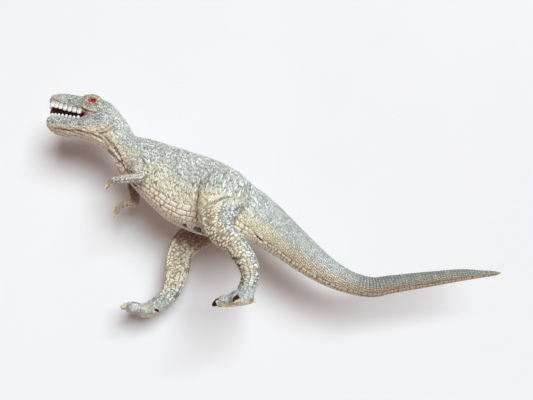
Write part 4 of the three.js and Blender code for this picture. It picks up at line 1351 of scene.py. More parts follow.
@dataclass
class Head:
    """The head and neck casting, with its jaws, brows, eyes, teeth and mouth."""

    hide: Hide
    voxel: float = 0.38
    eye_at: tuple[float, float] = (7.9, 12.0)  # forward and up on the head
    eye_half: tuple[float, float] = (3.9, 1.95)  # half its length and half its height
    brow_at: tuple[float, float, float] = (9.6, 7.07, 15.0)  # forward, out and up
    brow_half: tuple[float, float, float] = (6.4, 3.0, 2.5)
    nostril_at: tuple[float, float, float] = (35.0, 4.2, 14.0)
    nostril_half: tuple[float, float, float] = (2.6, 1.6, 1.6)
    throat_at: tuple[float, float, float] = (-81.8, 0, 48.2)  # from the hip axis
    throat_half: tuple[float, float, float] = (8.5, 6.5, 3.4)
    throat_tilt_deg: float = 34
    # Folds on the side of the head, and the lower border of the grey, as forward and up.
    corner_fold: Path = (
        (14.2, 6.2),
        (11.4, 4.9),
        (9.3, 4.1),
        (6.0, 3.5),
        (2.9, 3.4),
    )
    cheek_fold: Path = ((2.9, 4.6), (-0.2, 5.2), (-3.3, 5.6))
    jaw_folds: tuple[Path, ...] = (
        ((-11.0, -3.2), (-6.8, -8.4), (-2.2, -9.8)),
        ((-8.9, -0.6), (-5.0, -6.4), (-0.5, -8.4)),
        ((12.0, -9.9), (3.0, -10.6), (-4.0, -12.6)),
        ((30.0, -9.8), (20.0, -10.2), (12.0, -9.9)),
    )
    grey_border: Path = (
        (-20.0, -1.0),
        (-9.0, -1.6),
        (0.6, -5.5),
        (18.4, -7.8),
        (33.2, -7.2),
        (38.5, -4.6),
    )
    teeth: tuple[Teeth, Teeth] = (
        Teeth(
            JawRow.UPPER,
            UPPER_JAW,
            count=8,
            front=38.7,
            back=15.6,
            height=3.5,
            last_share=0.66,
            half=1.5,
            girths=(0.75, 1.0, 1.0, 0.97, 0.9, 0.78, 0.6, 0.26),
        ),
        Teeth(
            JawRow.LOWER,
            LOWER_JAW,
            count=9,
            front=36.6,
            back=15.2,
            height=2.1,
            last_share=0.75,
            half=1.1,
            girths=(0.9, 1.0, 1.0, 0.92, 0.74, 0.52, 0.34, 0.12),
        ),
    )

    def jaw(self, table: np.ndarray, square_up: float, square_down: float) -> Skin:
        """One jaw, lofted finely along the head from its table."""
        share = np.sin(np.linspace(0, math.pi / 2, 60))
        forward = table[0, 0] + (table[-1, 0] - table[0, 0]) * share
        top, bottom, half = read_jaw(table, forward).T
        close = np.sqrt(np.clip(1 - unit((forward - forward[-6]) / 0.9) ** 2, 0.02, 1))
        shape = superellipse(72, square_up, square_down)
        middle, high = (top + bottom) / 2, (top - bottom) / 2 * close
        rings = on_head(
            forward[:, None],
            (half * close)[:, None] * shape[:, 0],
            middle[:, None] + high[:, None] * shape[:, 1],
        )
        return capped_tube(rings)

    def neck(self) -> Skin:
        """The neck, from inside the head down to its seam."""
        length = LINE.arc(NECK_SEAM) - SEAM_GAP
        skin = LINE.rings(0, length, length / 50, 90)
        skin.masks.clear()
        return skin

    def shape(self) -> Skin:
        """Joins the head's forms into one skin and softens where they meet."""
        forms = [self.jaw(UPPER_JAW, 2.3, 3.6), self.jaw(LOWER_JAW, 3.6, 2.3), self.neck()]
        throat_tilt = math.radians(self.throat_tilt_deg)
        forms.append(egg(np.array(self.throat_at), self.throat_half, throat_tilt))
        pairs = ((self.brow_at, self.brow_half), (self.nostril_at, self.nostril_half))
        for side, ((forward, out, up), half) in itertools.product((-1, 1), pairs):
            forms.append(egg(on_head(forward, side * out, up), half, HEAD_TILT))
        skin = fused(forms, self.voxel)
        forward, up, _ = off_head(skin.points)
        past_seam = (skin.points - NECK_SWIVEL.place) @ NECK_SWIVEL.axis
        off_lip = np.abs(up - 3.2 - 0.12 * (forward - 15))
        lips = smooth(14.5, 17, forward) * smooth(3.4, 1.6, off_lip)
        soft = (0.35 + 0.65 * smooth(20, 6, forward)) * (1 - 0.8 * lips)
        skin.relax(14, smooth(0.2, 1.2, past_seam) * soft)
        return skin

    def build(self) -> list[bpy.types.Object]:
        """Shapes, paints and places the head's pieces."""
        skin = self.shape()
        LINE.measure(skin)
        self.dress(skin)
        finish = SprayedVinyl("sprayed_head").material()
        nodes = ("head_and_neck",)
        made = [placed("head_skin", skin, finish, "head", nodes), self.mouth()]
        white = ToothPaint().material()
        made += [row.build(f"{row.row.name.lower()}_teeth", white) for row in self.teeth]
        glass = EyePaint().material()
        made += [self.eye(-1, "left_eye", glass), self.eye(1, "right_eye", glass)]
        return made

    def fold_marks(
        self, places: Points, flat: np.ndarray, out: np.ndarray
    ) -> tuple[np.ndarray, ...]:
        """Finds the folds on the side of the head, each from 0 to 1.

        Args:
            places: The places on the figure.
            flat: The same, as forward and up on the head.
            out: How far each lies from the middle plane.

        Returns:
            The mouth's corner, the lip over it, the cheek, all deeper creases, and the lit
            edge of the first one.
        """

        def line(path: Path, width: float, lift: float = 0) -> np.ndarray:
            """1 along a path on the side of the head, lifted by so much."""
            return bell(away_from([(x, y + lift) for x, y in path], flat), 0, width)

        creases = [line(path, 0.55) for path in self.jaw_folds]
        creases += [groove(fold.path, places, 0.7) for fold in THROAT_FOLDS]
        cheek = smooth(5, 8, out)
        return (
            line(self.corner_fold, 0.6) * cheek,
            line(self.corner_fold, 0.75, 1.15) * cheek,
            line(self.cheek_fold, 0.8) * cheek,
            strongest(creases) * smooth(2, 5, out),
            line(self.jaw_folds[0], 0.9, 1.7) * smooth(3, 6, out),
        )

    def eye_marks(
        self, forward: np.ndarray, up: np.ndarray, out: np.ndarray
    ) -> tuple[np.ndarray, ...]:
        """The lids, the socket, the ring round them and the brow over them, from 0 to 1."""
        x = forward - self.eye_at[0]
        y = up - self.eye_at[1] - 0.05 * x
        eye = np.hypot(x / self.eye_half[0], y / self.eye_half[1])
        cheek = smooth(5, 8, out)
        return (
            bell(eye, 1.26, 0.24) * cheek,
            smooth(1.05, 0.8, eye) * cheek,
            bell(eye, 1.95, 0.3) * cheek,
            bell(eye, 2.5, 0.8) * smooth(0.8, 2.2, y) * cheek,
        )

    def dress(self, skin: Skin) -> None:
        """Shapes the head's relief and lays its paint masks.

        Args:
            skin: The joined head, measured along the body's line.
        """
        forward, up, out = off_head(skin.points)
        flat = np.stack([forward, up], -1)
        run, rise, around = (skin.masks[k] for k in ("run", "rise", "around"))
        on = smooth(-11, -2, forward)
        top, chance = mix(self.hide.scales(run, around), pebbles(skin.points / 1.12, 21), on)
        swell = noise(skin.points / 5.5, 23)
        fold, lip, soft, creases, ridge_lit = self.fold_marks(skin.points, flat, out)
        lids, socket, ring, brow = self.eye_marks(forward, up, out)
        hole = np.hypot(forward - self.nostril_at[0] + 0.9, (up - self.nostril_at[2] - 0.6) * 1.4)
        nostril = np.exp(-(hole**2) / 1.1) * smooth(2.2, 3.4, out)
        border = np.interp(forward, *np.array(self.grey_border).T)
        chin = smooth(0.5, -0.9, up - border - 0.5 * swell) * smooth(-10, -3, forward)
        throat = np.maximum(chin, smooth(-0.32, -0.6, rise) * (1 - on))
        beads = bell(up - border, -0.7, 0.8) * on * smooth(3, 6, out)
        plates = self.throat_plates(forward, run, skin.masks["under"], on)
        beneath = throat * (1 - beads)
        wrinkles = smooth(0.22, 0.0, np.abs(noise(skin.points / (6.0, 4.0, 2.6), 27)))
        height = 0.3 * top * (1 - 0.75 * beneath) + 0.2 * swell - 0.1 * wrinkles * on
        height += beneath * (0.34 * (plates - 0.6) - 0.12 * wrinkles) + 0.2 * beads * top
        height += 0.4 * lip + 0.3 * ridge_lit - 0.7 * fold - 0.3 * soft - 0.6 * creases
        height += 0.5 * lids - 0.6 * socket - 0.25 * ring - 0.5 * nostril + 0.3 * self.gums(skin)
        skin.push(height)
        nose = np.exp(-((forward - 34.8) ** 2 + (up - 13.3) ** 2) / 3.5) * smooth(2.5, 4, out)
        pink = smooth(36.4, 38.4, forward) * smooth(14.6, 16.2, up)
        neck_cream = smooth(0.35, -0.4, rise) * (1 - on)
        spray = 0.86 - 1.0 * beneath - 0.85 * beads - 0.5 * brow - 0.5 * lip - 0.3 * soft
        spray = spray - 0.7 * neck_cream - 0.8 * nose - 0.5 * ridge_lit - 0.25 * lids
        skin.masks = {
            "top": mix(top, 0.55 + 0.45 * plates, beneath),
            "chance": unit(mix(chance, 0.5, beneath) + 0.35 * lip + 0.4 * ridge_lit),
            # dark paint in folds, creases, round the eye, over the brow and between the throat's
            # plates, partly a wash and partly painted shade
            "dip": unit(
                0.8 * fold
                + 0.6 * creases
                + 0.35 * ring
                + 0.3 * soft
                + beneath * (0.45 * (1 - plates) + 0.3 * wrinkles)
                + 0.3 * brow * (1 - top)
            ),
            "spray": unit(spray),
            "wash": unit(
                beneath * (0.34 + 0.25 * swell)
                + 0.35 * fold
                + 0.6 * creases
                + 0.25 * brow
                + 0.3 * neck_cream * (1 - top)
                + 0.55 * smooth(35.5, 38, forward) * smooth(-1, -4, up)
            ),
            "ink": 0.4 * unit(nostril - 0.4),
            "gold": unit(
                0.75 * lip * smooth(2.5, 5, forward)
                + 0.5 * nose
                + 0.9 * pink
                + 0.35 * brow
                + 0.45 * smooth(36, 38, forward) * smooth(-1, -4, up)
            ),
        }

    @staticmethod
    def throat_plates(
        forward: np.ndarray, run: np.ndarray, under: np.ndarray, on: np.ndarray
    ) -> np.ndarray:
        """Long soft plates under the chin and down the throat."""
        row = under / 2.4
        along = np.where(on > 0.5, -forward, run) / 4.2 + 0.5 * (np.floor(row) % 2)
        return (1 - smooth(0.5, 1.0, off_middle(row))) * (1 - smooth(0.7, 1.0, off_middle(along)))

    def gums(self, skin: Skin) -> np.ndarray:
        """Bumps on both lips where the teeth are rooted."""
        forward, up, out = off_head(skin.points)
        bumps = np.zeros(len(up))
        for row in self.teeth:
            for at, across, lip, _ in row.places():
                side = -row.row.value
                away = np.hypot((forward - at) / 1.15, (up - lip - side * 1.1) / 1.5)
                bumps = np.maximum(bumps, smooth(1.2, 0.2, away) * smooth(across - 2, across, out))
        return bumps

    def mouth(self) -> bpy.types.Object:
        """The painted wall inside the jaws, from the corner of the mouth to the front."""
        forward = np.linspace(6.0, 39.2, 80)
        upper = read_jaw(UPPER_JAW, np.minimum(forward, 36.5))
        lower = read_jaw(LOWER_JAW, np.minimum(forward, 34.5))
        inset = 1.0 + 2.7 * smooth(11.0, 15.0, forward)
        wide = np.minimum(upper[:, 2], lower[:, 2]) - inset
        wide *= np.sqrt(np.clip(1 - smooth(36.4, 39.8, forward), 0.05, 1))
        slope = 5.6 * smooth(33.5, 38.4, forward)
        bottom = lower[:, 0] - 2.4 + slope
        roof = upper[:, 1] + 2.2
        shape = superellipse(56, 3.0, 3.0)
        rings = on_head(
            forward[:, None],
            wide[:, None] * shape[:, 0],
            ((roof + bottom) / 2)[:, None] + ((roof - bottom) / 2)[:, None] * shape[:, 1],
        )
        skin = capped_tube(rings)
        skin.push(0.25 * noise(skin.points / 1.6, 31))
        along, up, out = off_head(skin.points)
        rim = np.hypot(along - 13.4, (up - 2.9) * 0.9)
        front = smooth(33.5, 36.5, along)
        skin.masks["corner"] = np.maximum(
            smooth(1.7, 2.4, rim) * smooth(14.6, 13.2, along) * smooth(4, 6, out), 0.12 * front
        )
        return placed("mouth_lining", skin, MouthPaint().material(), "head")

    def eye(self, side: int, name: str, material: bpy.types.Material) -> bpy.types.Object:
        """An almond eye that bulges a little from its lids."""
        rows, sides = 26, 48
        ring = circle(sides)
        radius = np.linspace(0.02, 1, rows)
        lens = np.abs(np.sin(ring)) ** 1.15 * np.sign(np.sin(ring))
        lens = np.where(lens > 0, lens, 0.82 * lens)
        forward = radius[:, None] * np.cos(ring) * self.eye_half[0]
        up = radius[:, None] * lens * self.eye_half[1]
        bulge = 1.5 * np.sqrt(1 - 0.93 * radius**2)[:, None] * np.ones(sides)
        cheek = read_jaw(UPPER_JAW, np.array([self.eye_at[0]]))[0, 2]
        along, high = self.eye_at[0] + forward, self.eye_at[1] + up + 0.05 * forward
        lean = 0.16 * up + 0.015 * forward
        front = on_head(along, side * (cheek - 1.35 + bulge - lean), high)
        back = on_head(along[-1:], side * (cheek - 3.4) * np.ones((1, sides)), high[-1:])
        skin = capped_tube(np.concatenate([front, back]))
        x, y, _ = off_head(skin.points)
        x, y = x - self.eye_at[0], y - self.eye_at[1]
        pupil = smooth(1.15, 0.85, np.hypot((x + 1.0) / 1.65, (y - 0.1) / 1.05))
        # a painted glint in the pupil
        haze = smooth(1.0, 0.5, np.hypot((x + 0.9) / 0.8, (y + 0.1) / 0.4))
        edge = smooth(0.78, 1.0, np.hypot(x / self.eye_half[0], y / self.eye_half[1]))
        skin.masks |= {"pupil": pupil, "haze": 0.8 * haze, "rim": edge}
        return placed(name, skin, material, "head")


# Limbs


@dataclass(frozen=True)
class Digit:
    """The sizes of a toe or a finger and its claw."""

    length: float
    thickness: float
    claw: float
    claw_thickness: float


TOE = Digit(12.5, 7.0, 3.6, 4.2)
LONG_TOE = Digit(15.4, 7.0, 3.6, 3.6)
SIDE_TOE = Digit(7.0, 6.4, 3.4, 4.0)
REAR_TOE = Digit(5.0, 4.9, 2.6, 2.7)
FINGER = Digit(2.8, 2.3, 1.6, 1.5)
CLAW_HOOK = 0.55


class ClawInk(Enum):
    """Where a claw carries black paint."""

    TIPPED = "from its middle to its tip"
    TOPPED = "along its top"
    PLAIN = "nowhere"


@dataclass(frozen=True)
class Toe:
    """Where a digit starts and how it points."""

    root: tuple[float, float, float]
    heading: float
    pitch: float
    size: Digit
    ink: ClawInk = ClawInk.PLAIN
    sides: int = 24  # of the claw's sections

    def way(self) -> np.ndarray:
        """The direction that the digit points in."""
        flat = math.cos(self.pitch)
        return np.array(
            [
                -flat * math.cos(self.heading),
                flat * math.sin(self.heading),
                math.sin(self.pitch),
            ]
        )

    def flesh(self) -> Skin:
        """The digit without its claw."""
        share = np.array([-0.1, 0.0, 0.2, 0.4, 0.6, 0.8, 0.92, 1.0])
        girth = np.array([0.8, 0.92, 0.95, 0.93, 1.0, 0.97, 0.84, 0.55]) * self.size.thickness / 2
        middles = np.array(self.root) + (share * self.size.length)[:, None] * self.way()
        return tube(middles, girth, girth, 28)

    def claw(self) -> Skin:
        """The claw, hooked down, with its black paint."""
        share = np.linspace(0, 1, 14)
        end = np.array(self.root) + self.way() * self.size.length
        middles = end + ((share * 1.25 - 0.25) * self.size.claw)[:, None] * self.way()
        middles[:, 2] -= CLAW_HOOK * self.size.claw * share**1.8
        girth = self.size.claw_thickness / 2 * np.sqrt(np.clip(1.02 - share**1.5, 0.015, 1))
        skin = tube(middles, girth * 1.08, girth * 0.86, self.sides)
        along, height, half = (
            np.repeat(values, self.sides) for values in (share, middles[:, 2], girth)
        )
        lift = (skin.points[: len(along), 2] - height) / half
        ink = np.zeros(len(along))
        if self.ink is ClawInk.TIPPED:
            ink = np.maximum(smooth(0.42, 0.56, along), smooth(0.3, 0.7, lift))
        if self.ink is ClawInk.TOPPED:
            ink = smooth(-0.15, 0.25, lift)
        skin.masks["ink"] = np.concatenate([ink, [ink[0], ink[-1]]])
        return skin


def limb_table(rows: np.ndarray, per_row: int) -> np.ndarray:
    """Reads a limb's table smoothly at even steps between its rows."""
    keys = np.arange(len(rows), dtype=float)
    return cubic(keys, rows, np.linspace(0, len(rows) - 1, per_row * (len(rows) - 1) + 1))


def along_limb(middles: Points, places: Points) -> tuple[np.ndarray, np.ndarray, np.ndarray]:
    """Finds how far along, in front of and beside a limb's middle line each place lies."""
    near = ((places[:, None] - middles[None]) ** 2).sum(-1).argmin(1)
    way = np.gradient(middles, axis=0)
    way /= np.linalg.norm(way, axis=1)[:, None]
    off, way = places - middles[near], way[near]
    ahead = off[:, 0] * way[:, 2] - off[:, 2] * way[:, 0]
    return run_along(middles)[near] + (off * way).sum(1), ahead, off[:, 1]


def placed_limb(
    body: str, limb: str, skin: Skin, claws: str, digits: list[Toe], claw_paint: ClawPaint
) -> list[bpy.types.Object]:
    """Puts a limb on the figure.

    Args:
        body: The body that it rides on.
        limb: The casting that it is shown instead of.
        skin: The limb's finished surface.
        claws: The name of its claws.
        digits: The toes or fingers that carry them.
        claw_paint: The claws' finish.

    Returns:
        The limb and its claws.
    """
    finish = SprayedVinyl(f"sprayed_{limb}").material()
    nails, black = merged([digit.claw() for digit in digits]), claw_paint.material()
    return [
        placed(f"{limb}_skin", skin, finish, body, (limb,)),
        placed(claws, nails, black, body),
    ]


HIP_HEIGHT, THIGH_DEPTH, THIGH_THICKNESS = 66.9, 28.0, 10.6
LEG_SIZES = np.array([HIP_HEIGHT, -HIP_HEIGHT, THIGH_DEPTH / 2, THIGH_THICKNESS / 2])
# From inside the haunch to the ball of the foot: shares of the hip's height, for how far
# back and down, and of the thigh's depth and thickness.
LEFT_LEG = LEG_SIZES * np.array(
    [
        (-0.015, 0.06, 1, 0.95),
        (-0.06, 0.18, 0.86, 1),
        (-0.08, 0.285, 0.66, 1.04),
        (-0.01, 0.4, 0.525, 1.02),
        (0.075, 0.5, 0.465, 0.96),
        (0.15, 0.63, 0.43, 0.87),
        (0.185, 0.735, 0.385, 0.8),
        (0.165, 0.84, 0.35, 0.85),
        (0.12, 0.925, 0.36, 1),
    ]
)
RIGHT_LEG = LEG_SIZES * np.array(
    [
        (-0.045, 0.03, 1, 0.95),
        (-0.2, 0.135, 0.85, 1),
        (-0.36, 0.24, 0.74, 1.02),
        (-0.47, 0.335, 0.68, 1.04),
        (-0.53, 0.46, 0.59, 1),
        (-0.55, 0.575, 0.545, 0.95),
        (-0.585, 0.705, 0.46, 0.87),
        (-0.655, 0.825, 0.385, 0.85),
        (-0.8, 0.915, 0.34, 1),
    ]
)
GROUND = -66.86  # the soles, just clear of the floor
TOE_LINE = -64.1  # the middle of a toe that stands on the ground
LEG_FACE = LEFT_HIP.face + SEAM_GAP
LEG_OUT = LEG_FACE + THIGH_THICKNESS / 2
LEG_FLAT_DROP = 54.0  # from the hip's axis down to where the inner side stops being flat
THIGH_ROOM = 1.9  # how far the thigh stands off, past its haunch, to pass over the flank
ARM_ROOM = 2.9  # the same for an arm, past its shoulder
HAUNCH_EDGE, HAUNCH_DOME = 1.1, 7.6  # the straight part of its thickness, and the round
BALL_HALF = (7.5, 7.25, 4.8)  # half the length, width and height of a foot's ball
THIGH_FOLDS = (
    [(-10.9, -10.2), (-6.8, -8.7), (-3.2, -7.5), (0.9, -6.3), (4.5, -5.4)],
    [(6.0, -14.2), (9.1, -12.2), (12.7, -10.1)],
)


@dataclass
class Leg:
    """A leg casting: haunch, shin, foot and claws."""

    name: str
    side: int
    table: np.ndarray
    hide: Hide
    toes: tuple[tuple[float, float, float, Digit, ClawInk], ...]  # heading, ahead and out
    toe_pitch: float
    toe_rise: float
    ball_ahead: float
    ball_drop: float
    step_deg: float  # how far the thigh is swung back, or forward where negative
    grey: tuple[float, float, float]  # spray on the shin's front and back, and on the foot
    stain_and_shade: float  # brown wash inside the thigh, partly painted shade there
    spots: Path = ()  # dark notches on the shin, as x and z
    voxel: float = 0.44

    def foot_toes(self) -> list[Toe]:
        """The foot's toes, spread from the ball."""
        end, half = self.table[-1], TOE.thickness / 2
        made = []
        for heading, ahead, out, size, ink in self.toes:
            root = (
                end[0] - ahead * half,
                self.side * (LEG_OUT + out * half),
                TOE_LINE + self.toe_rise,
            )
            pitch = 0.0 if size is REAR_TOE else math.radians(self.toe_pitch)
            made.append(Toe(root, math.radians(self.side * heading), pitch, size, ink))
        return made

    def haunch(self) -> Skin:
        """The round end of the thigh, which turns on the body's pad."""
        share = np.concatenate([[1.0], np.cos(np.linspace(0, math.pi / 2, 20))])
        radius = HAUNCH_RADIUS * share + 0.02
        out = HAUNCH_EDGE + HAUNCH_DOME * np.maximum(1 - share**2, 0) ** 0.62
        out[0] = 0
        return turned(0, 0, radius, self.side * (LEG_FACE + out), 96)

    def build(self) -> list[bpy.types.Object]:
        """Shapes, paints and places the leg and its claws."""
        rows = limb_table(self.table, 8)
        middles = np.stack([rows[:, 0], np.full(len(rows), self.side * LEG_OUT), rows[:, 1]], -1)
        end = self.table[-1]
        ball = np.array([end[0] - self.ball_ahead, self.side * LEG_OUT, end[1] - self.ball_drop])
        toes = self.foot_toes()
        skin = fused(
            [
                self.haunch(),
                tube(middles, rows[:, 2], rows[:, 3], 72, LIMB_SQUARENESS),
                egg(ball, BALL_HALF),
                *(toe.flesh() for toe in toes),
            ],
            self.voxel,
        )
        places = skin.points
        away = np.hypot(places[:, 0], places[:, 2])
        outer = smooth(LEG_FACE + 0.6, LEG_FACE + 2.6, np.abs(places[:, 1]))
        soft = smooth(-60, -52, places[:, 2]) * outer
        skin.relax(26, soft * smooth(22, 17, away))
        skin.relax(5, 0.8 * outer)
        self.dress(skin, middles)
        self.seat(skin)
        claws, claw_paint = f"{self.name}_toe_claws", ClawPaint(f"{self.name}_claw_paint")
        return placed_limb(
            f"leg_{self.name}", f"{self.name}_leg", skin, claws, toes, claw_paint
        )

    def seat(self, skin: Skin) -> None:
        """Flattens the leg's inner face and trues the edge of its haunch."""
        places = skin.points
        inner = places[:, 2] > -LEG_FLAT_DROP
        away = np.hypot(places[:, 0], places[:, 2])
        turn = math.radians(self.step_deg)
        down = places[:, 0] * math.sin(turn) - places[:, 2] * math.cos(turn)
        past = smooth(HAUNCH_RADIUS - 0.7, HAUNCH_RADIUS, away) * smooth(2, 7, down)
        face = LEG_FACE + THIGH_ROOM * past
        reach = np.maximum(np.abs(places[:, 1]), face)
        places[inner, 1] = self.side * reach[inner]
        edge = (np.abs(places[:, 1]) < LEG_FACE + HAUNCH_EDGE + 0.9) & (places[:, 2] > -2)
        scale = HAUNCH_RADIUS / np.maximum(away, 1e-6)
        tight = edge & (scale < 1)
        places[tight, 0] *= scale[tight]
        places[tight, 2] *= scale[tight]
        places[:, 2] = np.maximum(places[:, 2], GROUND)

    def thigh_folds(self, places: Points) -> tuple[np.ndarray, np.ndarray]:
        """The folds on the outside of the thigh and the lit skin above them, from 0 to 1."""
        turn = math.radians(self.step_deg)
        c, s = math.cos(turn), math.sin(turn)
        outside = smooth(0.0, 2.0, places[:, 1] * self.side - LEG_OUT)
        bent = [[(x * c - z * s, x * s + z * c) for x, z in path] for path in THIGH_FOLDS]
        above = [[(x, z + 1.3) for x, z in path] for path in bent]
        cuts = strongest([groove(path, places, 0.65) for path in bent])
        bright = strongest([groove(path, places, 0.9) for path in above])
        return cuts * outside, bright * outside

    def notches(self, places: Points) -> np.ndarray:
        """The dark notches on the shin, from 0 to 1."""
        paths = [[(x - 1.6, z + 0.5), (x + 0.8, z - 0.4)] for x, z in self.spots]
        return strongest([np.zeros(len(places)), *(groove(path, places, 0.62) for path in paths)])

    def dress(self, skin: Skin, middles: Points) -> None:
        """Shapes the leg's creases and lays its paint masks.

        Args:
            skin: The joined leg.
            middles: The leg's middle line.
        """
        places = skin.points
        LINE.measure(skin)
        run, ahead, across = along_limb(middles, places)
        low, beyond = places[:, 2], across * self.side
        share = smooth(-5, -15, low)
        own = pebbles(np.stack([run * 0.95, across * 0.38, ahead * 0.38], -1), 47)
        shared = self.hide.scales(skin.masks["run"], skin.masks["around"])
        top, chance = mix(shared, own, share)
        front, back = smooth(-1.0, 3.5, ahead), smooth(0.0, -5.0, ahead)
        inside = smooth(1.5, -2.5, beyond)
        foot = smooth(-55, -60, low)
        shin = smooth(-40, -50, low) * (1 - foot)
        wander = 0.35 * noise(places / (4.5, 4.5, 6.0), 41)
        waves = np.abs(noise(np.stack([run / 1.7 + wander, across / 9], -1), 43))
        creases = smooth(0.35, 0.0, waves) * (shin + 0.6 * foot)
        swell = noise(places / 6.5, 49)
        cuts, bright = self.thigh_folds(places)
        marks = self.notches(places) * front
        crease = LEFT_HIP.crease(places * (1, -self.side, 1)) * (1 - share)
        outer = smooth(LEG_FACE, LEG_FACE + 1.2, np.abs(places[:, 1]))
        height = 0.32 * top * (1 - 0.6 * foot) + 0.25 * swell * (1 - foot)
        height -= 0.45 * creases + 0.6 * cuts + 0.5 * marks - 0.25 * bright
        skin.push(height * outer)
        haunch = self.hide.spray(skin.masks["run"], skin.masks["rise"] + 0.1 * swell)
        grey_front, grey_back, grey_foot = self.grey
        shank = mix(mix(grey_front, grey_back, back), grey_foot, smooth(-48, -57, low))
        level = low + 0.43 * (places[:, 0] + 30) + 2.0 * noise(places / 2.2, 53)
        # the inner thigh, painted brown and darker, partly a wash and partly painted shade
        thigh = inside * smooth(-25.0, -20.0, level) * smooth(-7, -12, low)
        edge = smooth(-65.4, -66.4, low)
        skin.masks = {
            "top": top * (1 - 0.4 * foot) + 0.28 * foot,
            "chance": unit(
                chance * (1 - 0.3 * foot)
                + 0.35 * bright
                + self.stain_and_shade * (0.35 * (1 - foot) * share - 0.55 * thigh)
            ),
            # dark paint in creases, notches, the hip's crease and inside the thigh, partly a wash
            # and partly painted shade
            "dip": unit(
                0.55 * creases
                + 0.7 * cuts
                + 0.9 * marks
                + 0.6 * crease
                + self.stain_and_shade * thigh * (1.05 - 0.75 * top)
                + (0.75 - 0.55 * self.stain_and_shade) * front * (1 - top) * (1 - foot) * share
            ),
            "spray": unit(
                mix(haunch, shank, share) * (1 - 0.8 * thigh * self.stain_and_shade) * (1 - edge)
                - 0.25 * front * (1 - share) * smooth(4, -6, low)
            ),
            "wash": unit(
                self.stain_and_shade * thigh
                + 0.35 * crease
                + 0.25 * front * (1 - top) * share * (1 - foot)
                + 0.35 * marks
            ),
            "ink": 0.75 * marks,
            "gold": 0.8 * edge,
        }


